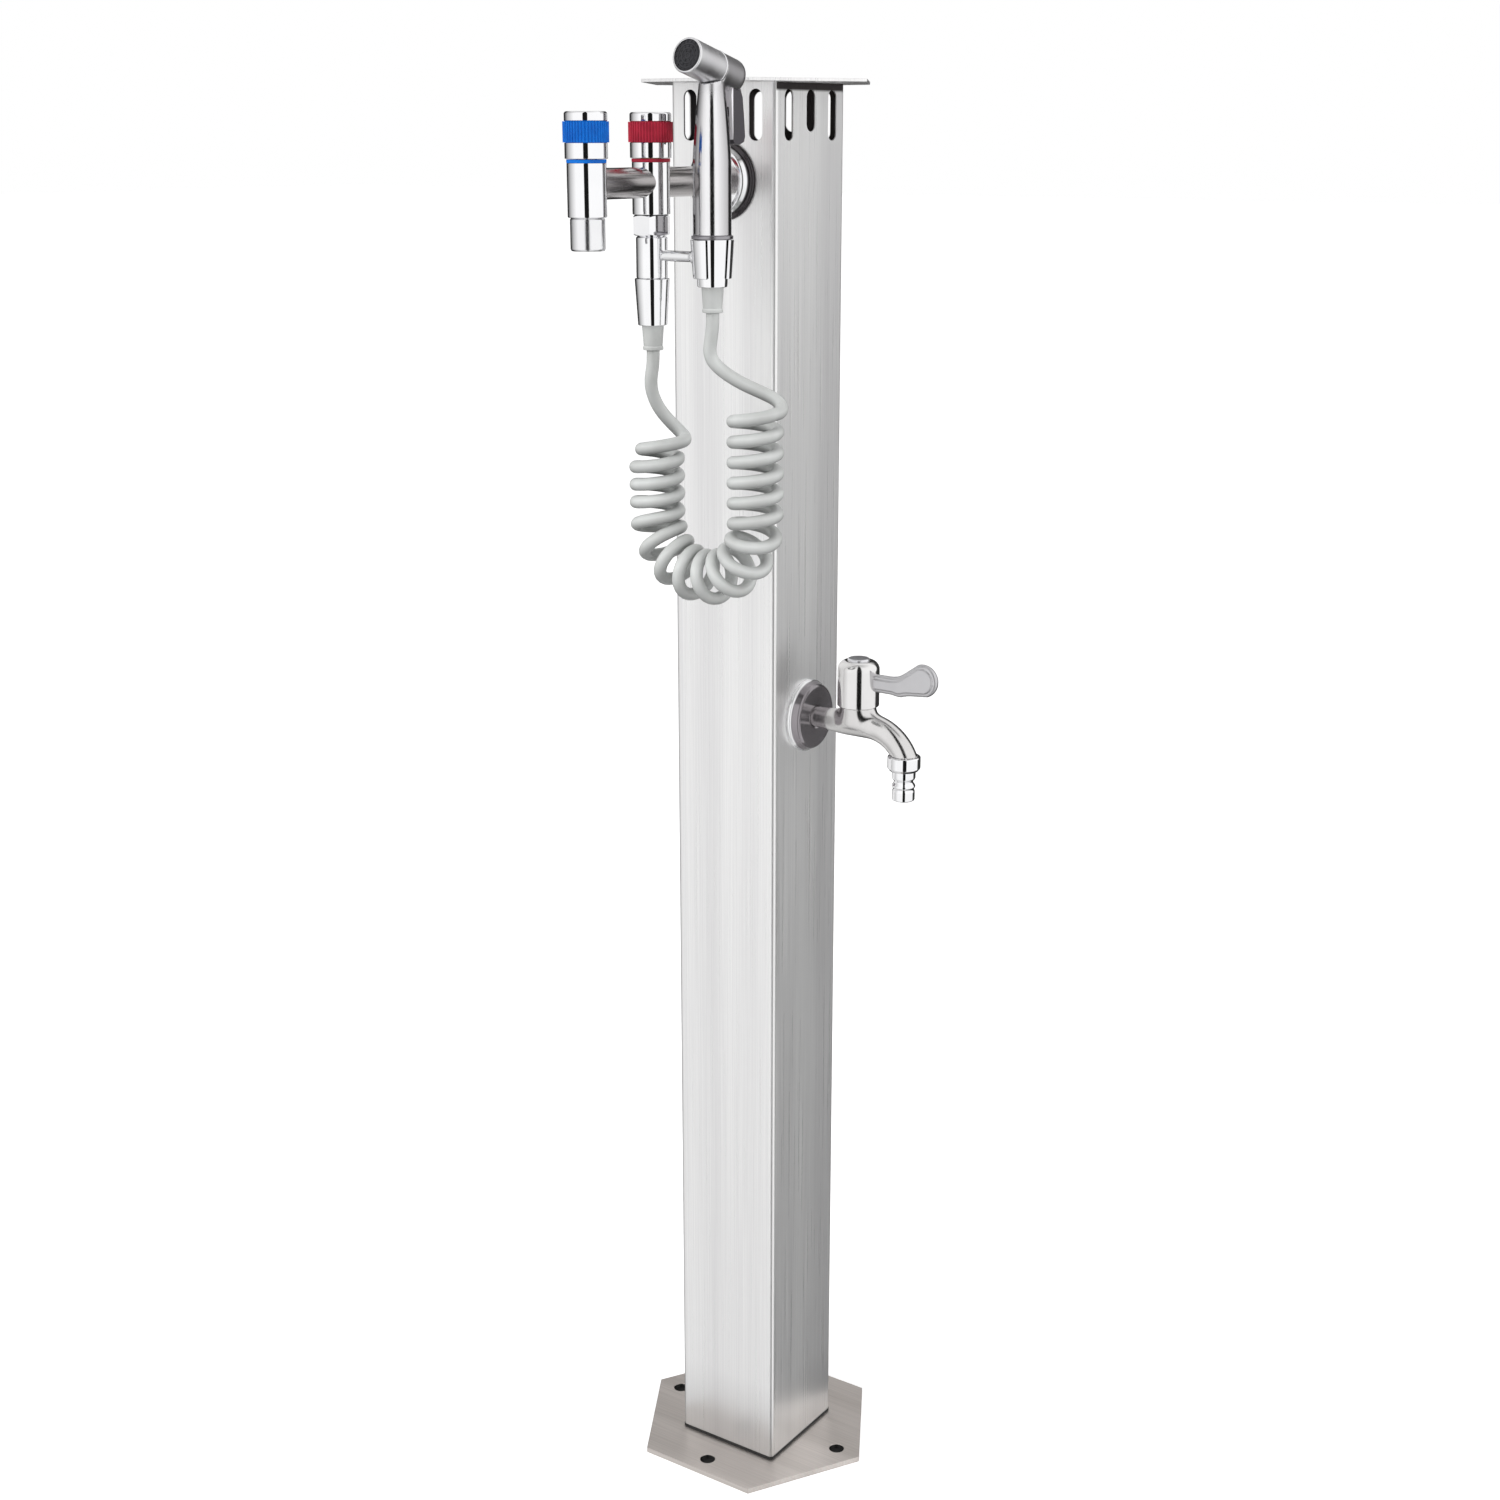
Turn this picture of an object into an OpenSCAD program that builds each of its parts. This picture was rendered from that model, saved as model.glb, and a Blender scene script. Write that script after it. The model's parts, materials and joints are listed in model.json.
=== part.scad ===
// Garden standpipe: a square steel post on a hexagonal foot, with two upright valves and a hand
// sprayer on its front face and a bib tap on its right face. Millimetres, +Z up.
// The origin lies on the post's axis, on the underside of the foot. The front face looks along -Y.

/* [Foot] */
// Corner radius of the hexagonal foot plate
foot_r = 91; // [88:1:120]
// Thickness of the foot plate
foot_t = 4; // [3:0.5:8]
// Distance between the two anchor holes along X
anchor_x = 143; // [130:1:156]
// Distance between the two anchor holes along Y
anchor_y = 130; // [120:1:136]
// Diameter of an anchor hole
anchor_d = 11; // [7:0.5:13]
// Thickness of the rubber gasket under the post
gasket_t = 2; // [1:0.5:4]
// How far the gasket stands out round the post
gasket_lip = 2; // [0.5:0.5:4]

/* [Post] */
// Outer width of the square post
post_w = 80; // [76:1:90]
// Wall thickness of the post
post_wall = 1.5; // [1:0.25:3]
// Outer corner radius of the post
post_corner = 3; // [2:0.5:6]
// Length of the post tube
post_h = 969; // [960:1:1200]
// Width of one slot near the top of the post
slot_w = 10; // [6:1:14]
// Height of the outer slots
slot_h = 31; // [20:1:40]
// Height of the middle slot
slot_mid_h = 25.5; // [15:0.5:31]
// Distance between neighbouring slots
slot_pitch = 25; // [18:1:27]
// Steel left above the slots
slot_drop = 4; // [2:0.5:10]
// Length of the square sleeve that stands on the foot inside the post
sleeve_h = 50; // [30:5:120]
// Wall thickness of that sleeve
sleeve_wall = 3; // [2:0.5:5]
// Height of the sleeve screws above the foot plate
sleeve_screw_z = 26; // [15:1:28]

/* [Lid] */
// Corner radius of the hexagonal lid
lid_r = 81; // [70:1:95]
// Thickness of the lid
lid_t = 2; // [1.5:0.5:5]
// Depth of the rim under the lid that sits inside the post
lid_rim_h = 3; // [2:0.5:4]

/* [Water pipe] */
// Outer diameter of the riser pipe
riser_d = 18; // [16:0.5:20]
// Bore of the riser pipe
riser_bore = 15; // [10:0.5:15]
// Outer diameter of the pipe fittings
fitting_d = 24; // [23:0.5:30]
// Bore through the fittings
fitting_bore = 13; // [9:0.5:14]
// Radius of the supply thread in the inlet, for a half-inch pipe thread
inlet_thread_r = 9.3; // [8:0.1:10.4]
// Length of the supply thread in the inlet
inlet_thread_h = 15; // [10:1:18]

/* [Upright valves] */
// Distance from the top of the post down to the valve tube
valve_drop = 59; // [55:1:95]
// Diameter of the valve tube
tube_d = 18; // [17:0.5:20]
// Bore of the valve tube
tube_bore = 13; // [9:0.5:13]
// Distance from the front face to the first valve
first_reach = 75; // [70:1:95]
// Distance from the first valve to the second
valve_pitch = 62; // [45:1:90]
// Diameter of a valve body
valve_d = 23; // [22.5:0.5:28]
// Diameter of a valve handle
knob_d = 25; // [24:0.5:30]
// Height of the plain and ringed part of a handle
knob_h = 20.8; // [18:0.1:30]
// Outer diameter of the ribbed colour ring
grip_d = 27; // [26.5:0.5:34]
// Height of the ribbed colour ring
grip_h = 11.8; // [6:0.2:12]
// Ribs round the colour ring
grip_ribs = 44; // [24:2:60]
// Height of the polished cap on a handle
cap_h = 5.5; // [3:0.5:8]
// Thickness of the thin colour ring under a handle
index_h = 2; // [1:0.5:3]
// Radius of a wall cover
cover_r = 25; // [20:0.5:32]
// Depth of the wall cover behind the upright valves
cover_h = 7; // [5:0.5:12]
// Diameter of the plain outlet nozzle
nozzle_d = 20.5; // [19:0.5:26]
// Length of the plain outlet nozzle
nozzle_h = 19; // [14:0.5:30]
// Bore at the mouth of the plain outlet nozzle
nozzle_bore = 15; // [10:0.5:16]

/* [Holder and hose ends] */
// Size of the holder nut across its flats
nut_af = 21; // [19:0.5:26]
// Height of the holder nut
nut_h = 12; // [10:0.5:20]
// Diameter of the holder's collar
collar_d = 19.3; // [17:0.1:24]
// Height of the holder's collar
collar_h = 25.5; // [20:0.5:32]
// Diameter of the holder's arm
arm_d = 6.4; // [4:0.1:9]
// Distance from the first valve's axis to the sprayer's axis
arm_reach = 45; // [36:1:60]
// Larger diameter of a hose cone nut
cone_top_d = 21.6; // [19:0.2:25]
// Smaller diameter of a hose cone nut
cone_low_d = 18; // [16:0.2:20]
// Length of a hose cone nut
cone_h = 28; // [22:0.5:36]
// Wall thickness of the clip
clip_wall = 2; // [1.2:0.1:3.5]
// Height of the clip
clip_h = 22.7; // [12:0.1:24]
// Larger diameter of a hose sleeve under its cone nut
ferrule_d = 13.4; // [12:0.1:15]
// Smaller diameter of a hose sleeve
ferrule_low_d = 11.4; // [10.5:0.1:12]
// Length of a hose sleeve
ferrule_h = 15; // [8:0.5:20]

/* [Hose] */
// Outer diameter of the hose
hose_d = 8; // [6:0.1:8.4]
// Radius from the middle of the coil to the middle of the hose
curl_r = 13.5; // [12.5:0.1:15]

/* [Sprayer] */
// Diameter of the sprayer handle
grip_bar_d = 23; // [21:0.5:28]
// Diameter of the spray head
head_d = 20.5; // [19:0.5:24]
// Length of the spray head
head_len = 48; // [42:1:60]
// Upward tilt of the spray head, in degrees
head_tilt = 14; // [5:1:25]
// Length of the rear half of the spray head
head_rear = 20.5; // [18:0.5:24]
// Diameter of the rubber spray face
face_d = 17.8; // [14:0.2:18]
// Width of the trigger
trigger_w = 12; // [10:0.5:13]

/* [Bib tap] */
// Height of the bib tap's neck above the ground
bib_z = 564.5; // [300:0.5:700]
// Diameter of the neck
neck_d = 13.5; // [12:0.5:16]
// Bore of the neck
neck_bore = 7; // [5:0.5:8]
// Distance from the right face to the bib tap's spindle
bib_reach = 41; // [38:1:60]
// Diameter of the bib tap's body
bulb_d = 25; // [24:0.5:32]
// Diameter of the lever's hub
hub_d = 28; // [26:0.5:34]
// Height of the lever's hub
hub_h = 31; // [28:0.5:40]
// Distance from the spindle to the outlet
spout_reach = 36.2; // [34:0.2:60]
// Diameter of the spout
spout_d = 18.6; // [18.2:0.2:19]
// Thickness of the lever's blade
blade_t = 5; // [3:0.5:8]
// Reach of the lever's blade from the spindle
blade_len = 60.5; // [50:0.5:80]
// Diameter of the outlet nut
bib_nut_d = 22; // [21:0.5:28]
// Radius of the plain part of the hose tail
tail_r = 7.9; // [7.6:0.1:8.4]

/* [Hidden] */

$fn = 96;
eps = 0.1;            // overshoot of a cut, so that it passes right through
over = 1;             // longer overshoot, and the overlap of shapes that make one piece
fit = 0.05;           // radial clearance of pieces that are pushed together
run = 0.1;            // radial clearance of a shaft that turns in its bore
gap = 0.3;            // clearance between pieces that move past each other

steel = [0.72, 0.72, 0.71];
chrome = [0.85, 0.86, 0.88];
brass = [0.78, 0.66, 0.38];
taupe = [0.6, 0.57, 0.53];
black = [0.07, 0.07, 0.07];
blue = [0.05, 0.32, 0.75];
red = [0.68, 0.1, 0.18];
hose_grey = [0.8, 0.81, 0.79];
dark_grey = [0.2, 0.2, 0.22];

post_z0 = foot_t + gasket_t;
post_top = post_z0 + post_h;
valve_z = post_top - valve_drop;
sprayer_drop = 32;    // from the valve tube down to the sprayer's flange, which rests on the clip
sprayer_z = valve_z - sprayer_drop;
face = post_w / 2;
inner = face - post_wall;
sleeve_half = inner - gap;
socket_d = riser_d + 2 * fit;
socket_depth = 12;
spigot_d = 15.8;      // threaded spigot below a valve body
spigot_h = 8.3;
chamber_d = 18.2;     // chamber that takes a cartridge
first_y = -face - first_reach;
second_y = first_y - valve_pitch;
body_down = 18.7;     // from the valve tube's axis down to a valve body's lower edge
body_up = 12;         // and up to its upper edge
body_low = valve_z - body_down;
body_top = valve_z + body_up;
knob_z = body_top + index_h + gap;
wall_nut_h = 5;
nut_room = 3.5;       // from an elbow's mouth to the nut on the wall
elbow_arm = inner - wall_nut_h - nut_room;
tee_half = 24;        // half of the tee's height

// Cartridge: a lower barrel with side windows, a threaded shoulder and a neck
barrel_d = 13;
barrel_h = 14.7;
shoulder_d = 17.9;
neck_top_d = 12;
disc_d = 10;
disc_h = 2.5;
disc_room_d = 10.4;
port_d = 6;
spindle_d = 7.5;
stud_d = 4;

// Rounded square, exact, with its corners drawn as arcs
module rounded_square(w, r) {
    square([w - 2 * r, w], center = true);
    square([w, w - 2 * r], center = true);
    for (x = [-1, 1], y = [-1, 1])
        translate([x * (w / 2 - r), y * (w / 2 - r)]) circle(r);
}

// Points of an arc of radius r round [cx, cy] from angle a to angle b in n steps
function arc(cx, cy, r, a, b, n) =
    [for (i = [0:n]) [cx + r * cos(a + (b - a) * i / n), cy + r * sin(a + (b - a) * i / n)]];

// Turned drum with a rounded top edge and a small chamfer below
module drum(d, h, top_r = 1, low_c = 0.4) {
    rotate_extrude()
        polygon(concat([[0, 0], [d / 2 - low_c, 0], [d / 2, low_c]],
            arc(d / 2 - top_r, h - top_r, top_r, 0, 90, 4), [[0, h]]));
}

// Ring between two diameters
module ring(od, id, h) {
    difference() {
        cylinder(d = od, h = h);
        translate([0, 0, -eps]) cylinder(d = id, h = h + 2 * eps);
    }
}

// Hexagonal nut across flats af, with a round hole
module hex_nut(af, id, h) {
    difference() {
        cylinder(d = af / cos(30), h = h, $fn = 6);
        translate([0, 0, -eps]) cylinder(d = id, h = h + 2 * eps);
    }
}

// Turn a shape that stands along +Z so that it lies along -Y or along +X
module along_front() { rotate([90, 0, 0]) children(); }
module along_right() { rotate([0, 90, 0]) children(); }

module base_plate() {
    color(taupe) {
        difference() {
            cylinder(r = foot_r, h = foot_t, $fn = 6);
            for (s = [-1, 1]) {
                translate([s * anchor_x / 2, 0, -eps]) cylinder(d = anchor_d, h = foot_t + 2 * eps);
                translate([0, s * anchor_y / 2, -eps]) cylinder(d = anchor_d, h = foot_t + 2 * eps);
            }
            translate([0, 0, -eps]) cylinder(d = inlet_d + 2 * fit, h = foot_t + 2 * eps);
        }
        difference() {
            translate([0, 0, foot_t]) linear_extrude(sleeve_h) difference() {
                rounded_square(2 * sleeve_half, post_corner);
                square(2 * (sleeve_half - sleeve_wall), center = true);
            }
            sleeve_screw_places() cylinder(d = screw_d + 2 * fit, h = screw_len + eps);
        }
    }
}

// Button-head screws through the back and the left face, out of sight from the front
screw_d = 5;
screw_len = 8;
screw_head_d = 9.5;
screw_head_h = 2.6;
screw_socket_d = 3.4;
screw_socket_h = 1.6;
screw_side = 22;
module sleeve_screw_places() {
    for (s = [-1, 1]) {
        translate([s * screw_side, face, foot_t + sleeve_screw_z]) rotate([90, 0, 0]) children();
        translate([-face, s * screw_side, foot_t + sleeve_screw_z]) rotate([0, 90, 0]) children();
    }
}

module post_screws() {
    color(steel) sleeve_screw_places() {
        difference() {
            translate([0, 0, -screw_head_h])
                rotate_extrude() polygon(concat([[0, 0]],
                    arc(0, screw_head_h, screw_head_d / 2, -28, 0, 4), [[0, screw_head_h]]));
            translate([0, 0, -screw_head_h - eps])
                cylinder(d = screw_socket_d, h = screw_socket_h + eps, $fn = 6);
        }
        cylinder(d = screw_d, h = screw_len);
    }
}

module foot_gasket() {
    color(black) translate([0, 0, foot_t]) linear_extrude(gasket_t) difference() {
        rounded_square(post_w + 2 * gasket_lip, post_corner + gasket_lip);
        square(2 * inner, center = true);
    }
}

// Three slots with round ends, right through the post from front to back and from side to side
module post_slots() {
    for (turn = [0, 90], i = [-1, 0, 1]) {
        h = i == 0 ? slot_mid_h : slot_h;
        rotate([0, 0, turn]) translate([i * slot_pitch, 0, post_top - slot_drop - h / 2])
            rotate([90, 0, 0]) linear_extrude(post_w + 2 * over, center = true) {
                square([slot_w, h - slot_w], center = true);
                for (s = [-1, 1])
                    translate([0, s * (h - slot_w) / 2]) circle(d = slot_w);
            }
    }
}

module post_tube() {
    color(steel) difference() {
        translate([0, 0, post_z0]) linear_extrude(post_h) difference() {
            rounded_square(post_w, post_corner);
            rounded_square(2 * inner, max(post_corner - post_wall, 0.5));
        }
        post_slots();
        translate([0, 0, valve_z]) along_front() cylinder(d = tube_d + 2 * fit, h = face + over);
        translate([0, 0, bib_z]) along_right() cylinder(d = neck_d + 2 * fit, h = face + over);
        sleeve_screw_places() translate([0, 0, -over])
            cylinder(d = screw_d + 2 * run, h = post_wall + 2 * over);
    }
}

module top_plate() {
    color(steel) {
        translate([0, 0, post_top]) cylinder(r = lid_r, h = lid_t, $fn = 6);
        translate([0, 0, post_top - lid_rim_h]) linear_extrude(lid_rim_h) difference() {
            rounded_square(2 * (inner - gap), post_corner - post_wall / 2);
            square(2 * (inner - gap - lid_rim_wall), center = true);
        }
    }
}
lid_rim_wall = 2;

// Inlet with a flange that rests on the foot plate
inlet_d = 26;
inlet_h = 34;
inlet_flange_d = 36;
inlet_flange_t = 4;
inlet_relief = 0.5;   // how much wider the way is behind the thread
riser_low = inlet_h - socket_depth;
module inlet_fitting() {
    color(brass) difference() {
        union() {
            cylinder(d = inlet_d, h = inlet_h);
            translate([0, 0, foot_t]) cylinder(d = inlet_flange_d, h = inlet_flange_t);
        }
        translate([0, 0, -eps]) cylinder(r = inlet_thread_r, h = inlet_thread_h + eps);
        translate([0, 0, inlet_thread_h])
            cylinder(r = inlet_thread_r + inlet_relief, h = riser_low - inlet_thread_h);
        translate([0, 0, riser_low]) cylinder(d = socket_d, h = socket_depth + eps);
    }
}

module pipe(z0, z1) {
    color(steel) translate([0, 0, z0]) ring(riser_d, riser_bore, z1 - z0);
}

module riser_lower() { pipe(riser_low, bib_z - tee_half + socket_depth); }

module riser_upper() { pipe(bib_z + tee_half - socket_depth, valve_z - tee_half + socket_depth); }

bib_tail_in = 17;     // how near the neck's tail comes to the riser's axis
module bib_tee() {
    color(brass) difference() {
        union() {
            translate([0, 0, bib_z - tee_half]) cylinder(d = fitting_d, h = 2 * tee_half);
            translate([0, 0, bib_z]) along_right() cylinder(d = fitting_d, h = elbow_arm);
        }
        translate([0, 0, bib_z - tee_half - eps]) cylinder(d = socket_d, h = socket_depth + eps);
        translate([0, 0, bib_z + tee_half - socket_depth]) cylinder(d = socket_d, h = socket_depth + eps);
        translate([0, 0, bib_z - tee_half]) cylinder(d = fitting_bore, h = 2 * tee_half);
        translate([0, 0, bib_z]) along_right() cylinder(d = neck_bore, h = elbow_arm);
        translate([bib_tail_in, 0, bib_z]) along_right()
            cylinder(d = neck_d + 2 * fit, h = elbow_arm);
    }
}

tube_in = 17;         // how near the valve tube's tail comes to the riser's axis
module top_elbow() {
    color(brass) difference() {
        union() {
            translate([0, 0, valve_z - tee_half]) cylinder(d = fitting_d, h = tee_half);
            translate([0, 0, valve_z]) sphere(d = fitting_d);
            translate([0, 0, valve_z]) along_front() cylinder(d = fitting_d, h = elbow_arm);
        }
        translate([0, 0, valve_z - tee_half - eps]) cylinder(d = socket_d, h = socket_depth + eps);
        translate([0, 0, valve_z - tee_half]) cylinder(d = fitting_bore, h = tee_half);
        translate([0, 0, valve_z]) along_front() cylinder(d = fitting_bore, h = elbow_arm);
        translate([0, -tube_in, valve_z]) along_front()
            cylinder(d = tube_d + 2 * fit, h = elbow_arm);
    }
}

wall_nut_rim = 4;
module valve_wall_nut() {
    color(brass) translate([0, -inner + wall_nut_h, valve_z]) along_front()
        hex_nut(tube_d + 2 * wall_nut_rim, tube_d + 2 * fit, wall_nut_h);
}

module bib_wall_nut() {
    color(brass) translate([inner - wall_nut_h, 0, bib_z]) along_right()
        hex_nut(neck_d + 2 * wall_nut_rim, neck_d + 2 * fit, wall_nut_h);
}

// Pressed cover: a shallow cup, open towards the wall, with a hole for the tube
cover_wall = 1;
cover_lip = 2.5;
cover_edge_turn = 40; // direction in which the bend ends at the lip
module wall_cover(h, hole_d) {
    bend = h - cover_lip;
    rotate_extrude() polygon(concat(
        [[hole_d / 2, h - cover_wall], [hole_d / 2, h]],
        arc(cover_r - bend * 1.2, h - bend, bend, 90, cover_edge_turn, 5),
        [[cover_r, cover_lip * 0.7], [cover_r, 0], [cover_r - cover_wall, 0],
            [cover_r - cover_wall, cover_lip * 0.5]],
        arc(cover_r - bend * 1.2, h - bend, bend - cover_wall, cover_edge_turn, 90, 5)));
}

module valve_cover() {
    color(chrome) translate([0, -face, valve_z]) along_front()
        wall_cover(cover_h, tube_d + 2 * fit);
}

// One casting: the tube from the elbow, two upright bodies and their threaded spigots
module valve_body() {
    color(chrome) difference() {
        union() {
            translate([0, -tube_in - gap, valve_z]) along_front()
                cylinder(d = tube_d, h = -second_y - tube_in - gap);
            for (y = [first_y, second_y]) {
                translate([0, y, body_low]) cylinder(d = valve_d, h = body_top - body_low);
                translate([0, y, body_low - spigot_h]) cylinder(d = spigot_d, h = spigot_h + over);
            }
        }
        translate([0, -tube_in, valve_z]) along_front()
            cylinder(d = tube_bore, h = -second_y - tube_in);
        for (y = [first_y, second_y]) {
            translate([0, y, body_low + seat_h]) cylinder(d = chamber_d, h = body_top - body_low);
            translate([0, y, body_low - spigot_h - over])
                cylinder(d = seat_d, h = spigot_h + seat_h + 2 * over);
        }
    }
}
seat_drop = 7;        // from the valve tube's axis down to the seat of a cartridge
seat_h = body_down - seat_drop;
seat_d = 9;           // hole through the seat and the spigot

module plain_nozzle() {
    color(chrome) translate([0, second_y, body_low - nozzle_h]) difference() {
        drum(nozzle_d, nozzle_h, 0.3, 0.8);
        translate([0, 0, nozzle_h - spigot_h - fit])
            cylinder(d = spigot_d + 2 * fit, h = spigot_h + over);
        translate([0, 0, -eps]) cylinder(d = nozzle_bore, h = nozzle_h - spigot_h - over + eps);
        cylinder(d = seat_d, h = nozzle_h);
    }
}

// Cartridge on its seat at z = 0, with its shoulder from barrel to top
module cartridge(barrel, top) {
    difference() {
        union() {
            translate([0, 0, gap]) cylinder(d = barrel_d, h = barrel);
            translate([0, 0, barrel]) cylinder(d = shoulder_d, h = top - barrel);
            translate([0, 0, top - over]) cylinder(d = neck_top_d, h = cartridge_neck + over);
        }
        cylinder(d = port_d, h = barrel);
        translate([0, 0, cartridge_floor])
            cylinder(d = disc_room_d, h = max(barrel, disc_room_low) - cartridge_floor);
        cylinder(d = spindle_d + 2 * run, h = top + cartridge_neck + eps);
        for (a = [0, 90]) rotate([0, 0, a])
            translate([-barrel_d / 2 - over, -window_w / 2, window_z])
                cube([barrel_d + 2 * over, window_w, window_h]);
    }
}
cartridge_floor = 2.6;
disc_room_low = 8.5;  // least height of the room round the disc and the spindle's flange
cartridge_neck = 7.5;
window_w = 5;
window_z = 3.2;
window_h = 1.9;

// Ceramic disc with an open sector on each side, which covers or frees the port
module valve_disc() {
    translate([0, 0, cartridge_floor + fit]) difference() {
        cylinder(d = disc_d, h = disc_h);
        for (s = [0, 180]) rotate([0, 0, s])
            translate([disc_web, -disc_slot / 2, -eps]) cube([disc_d, disc_slot, disc_h + 2 * eps]);
    }
}
disc_web = 0.6;       // half of the web between the two openings
disc_slot = 3;

// Spindle with a driving flange on the disc and a threaded hole for the cap's stud
module spindle(top) {
    low = cartridge_floor + fit + disc_h;
    difference() {
        union() {
            translate([0, 0, low]) cylinder(d = spindle_d, h = top - low);
            translate([0, 0, low]) cylinder(d = disc_d, h = spindle_flange_t);
        }
        translate([0, 0, top - stud_hole_h]) cylinder(d = stud_d + 2 * fit, h = stud_hole_h + eps);
    }
}
stud_hole_h = 9;
spindle_flange_t = 2;

seat_z = body_low + seat_h;
valve_top = body_top + index_h - seat_z;          // shoulder's top above the seat
knob_web = 9;         // solid top of a handle, which the spindle drives
knob_hollow_d = 19;
knob_top_wall = 2;    // metal between the spindle and the cap
spindle_top = knob_z + knob_h - knob_top_wall - 0.5 - seat_z;
groove_d = knob_d - 1.4;

module knob_handle(y) {
    translate([0, y, knob_z]) difference() {
        union() {
            drum(knob_d, knob_h - grip_h - fit, 0.3, 0.8);
            cylinder(d = groove_d, h = knob_h);
        }
        translate([0, 0, -eps]) cylinder(d = knob_hollow_d, h = knob_h - knob_web + eps);
        cylinder(d = spindle_d + 2 * fit, h = knob_h - knob_top_wall);
        cylinder(d = stud_d + 2 * fit, h = knob_h + eps);
    }
}

module knob_cap(y) {
    translate([0, y, knob_z + knob_h]) {
        drum(knob_d, cap_h, 1.6, 0.3);
        translate([0, 0, -knob_stud_h]) cylinder(d = stud_d, h = knob_stud_h + over);
    }
}
knob_stud_h = 8;

// Ribbed colour ring, one shallow rib for each step round it
module grip_ring(y) {
    rib = 0.5;
    translate([0, y, knob_z + knob_h - grip_h]) linear_extrude(grip_h - fit) difference() {
        polygon([for (i = [0:2 * grip_ribs - 1])
            let (r = grip_d / 2 - (i % 2) * rib, a = 180 * i / grip_ribs)
                [r * cos(a), r * sin(a)]]);
        circle(d = groove_d + 2 * fit);
    }
}

module index_ring(y) {
    translate([0, y, body_top]) ring(valve_d, shoulder_d + 2 * fit, index_h);
}

module blue_handle() { color(chrome) knob_handle(second_y); }
module blue_cap() { color(chrome) knob_cap(second_y); }
module blue_grip_ring() { color(blue) grip_ring(second_y); }
module blue_index_ring() { color(blue) index_ring(second_y); }
module blue_cartridge() { color(brass) translate([0, second_y, seat_z]) cartridge(barrel_h, valve_top); }
module blue_spindle() { color(brass) translate([0, second_y, seat_z]) spindle(spindle_top); }
module blue_disc() { color("white") translate([0, second_y, seat_z]) valve_disc(); }
module red_handle() { color(chrome) knob_handle(first_y); }
module red_cap() { color(chrome) knob_cap(first_y); }
module red_grip_ring() { color(red) grip_ring(first_y); }
module red_index_ring() { color(red) index_ring(first_y); }
module red_cartridge() { color(brass) translate([0, first_y, seat_z]) cartridge(barrel_h, valve_top); }
module red_spindle() { color(brass) translate([0, first_y, seat_z]) spindle(spindle_top); }
module red_disc() { color("white") translate([0, first_y, seat_z]) valve_disc(); }

// Heights down the hose outlet, each from the piece above it
nut_top = body_low - gap;
nut_low = nut_top - nut_h;
collar_low = nut_low - collar_h;
cone_low = collar_low - cone_h;
ferrule_low = cone_low - ferrule_h;
shank_d = 12;
nut_lip = 1.5;
adapter_flange_t = 2.1;
adapter_tail_d = 14;
adapter_tail_h = 13;

module holder_nut() {
    color(chrome) translate([0, first_y, nut_low]) difference() {
        hex_nut(nut_af, shank_d + gap, nut_h);
        translate([0, 0, nut_lip]) cylinder(d = spigot_d + 2 * fit, h = nut_h);
    }
}

module hose_adapter() {
    color(brass) translate([0, first_y, 0]) difference() {
        union() {
            translate([0, 0, nut_low + nut_lip])
                cylinder(d = spigot_d - 2 * fit, h = adapter_flange_t);
            translate([0, 0, collar_low - over])
                cylinder(d = shank_d, h = nut_low - collar_low + nut_lip + 2 * over);
            translate([0, 0, collar_low - adapter_tail_h - gap])
                cylinder(d = adapter_tail_d, h = adapter_tail_h);
        }
        translate([0, 0, cone_low]) cylinder(d = hose_bore, h = body_low - cone_low);
    }
}
hose_bore = 5;

arm_z = collar_low + collar_h / 2 + 1;
arm_root = collar_d / 2 - 2;    // the arm starts inside the collar's wall
clip_top = sprayer_z - gap;
clip_low = clip_top - clip_h;
cone_slope = (cone_top_d - cone_low_d) / 2 / cone_h;
function cone_r(z) = cone_top_d / 2 - (sprayer_z - z) * cone_slope;

module holder_bracket() {
    color(chrome) difference() {
        union() {
            translate([0, first_y, collar_low]) drum(collar_d, collar_h, 1.2, 0.6);
            translate([arm_root, first_y, arm_z]) along_right()
                cylinder(d = arm_d, h = arm_reach - arm_root - cone_r(arm_z) - clip_wall - gap);
        }
        translate([0, first_y, collar_low - eps]) cylinder(d = shank_d + 2 * fit, h = collar_h + over);
    }
}

// Open conical clip round the sprayer's cone nut, with a boss that takes the arm
clip_mouth = -35;     // direction in which the clip is open, in degrees from +X
clip_half = 38;       // half of the open angle
clip_boss_h = 4;
clip_boss_wall = 1.5;
clip_cut = 40;        // long enough to pass through the clip's wall
module holder_clip() {
    color(chrome) translate([arm_reach, first_y, clip_low]) difference() {
        union() {
            cylinder(r1 = cone_r(clip_low) + gap + clip_wall, r2 = cone_r(clip_top) + gap + clip_wall,
                h = clip_h);
            translate([-cone_r(arm_z) - clip_wall - clip_boss_h, 0, arm_z - clip_low])
                along_right() cylinder(d = arm_d + 2 * clip_boss_wall, h = clip_boss_h);
        }
        translate([0, 0, -eps]) cylinder(r1 = cone_r(clip_low) + gap - eps * cone_slope,
            r2 = cone_r(clip_top) + gap + eps * cone_slope, h = clip_h + 2 * eps);
        translate([-cone_r(arm_z) - clip_wall - clip_boss_h - over, 0, arm_z - clip_low])
            along_right() cylinder(d = arm_d + 2 * fit, h = clip_boss_h + over + gap);
        rotate([0, 0, clip_mouth]) translate([0, 0, -eps]) linear_extrude(clip_h + 2 * eps)
            polygon([[0, 0], [clip_cut, -clip_cut * tan(clip_half)],
                [clip_cut, clip_cut * tan(clip_half)]]);
    }
}

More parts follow.
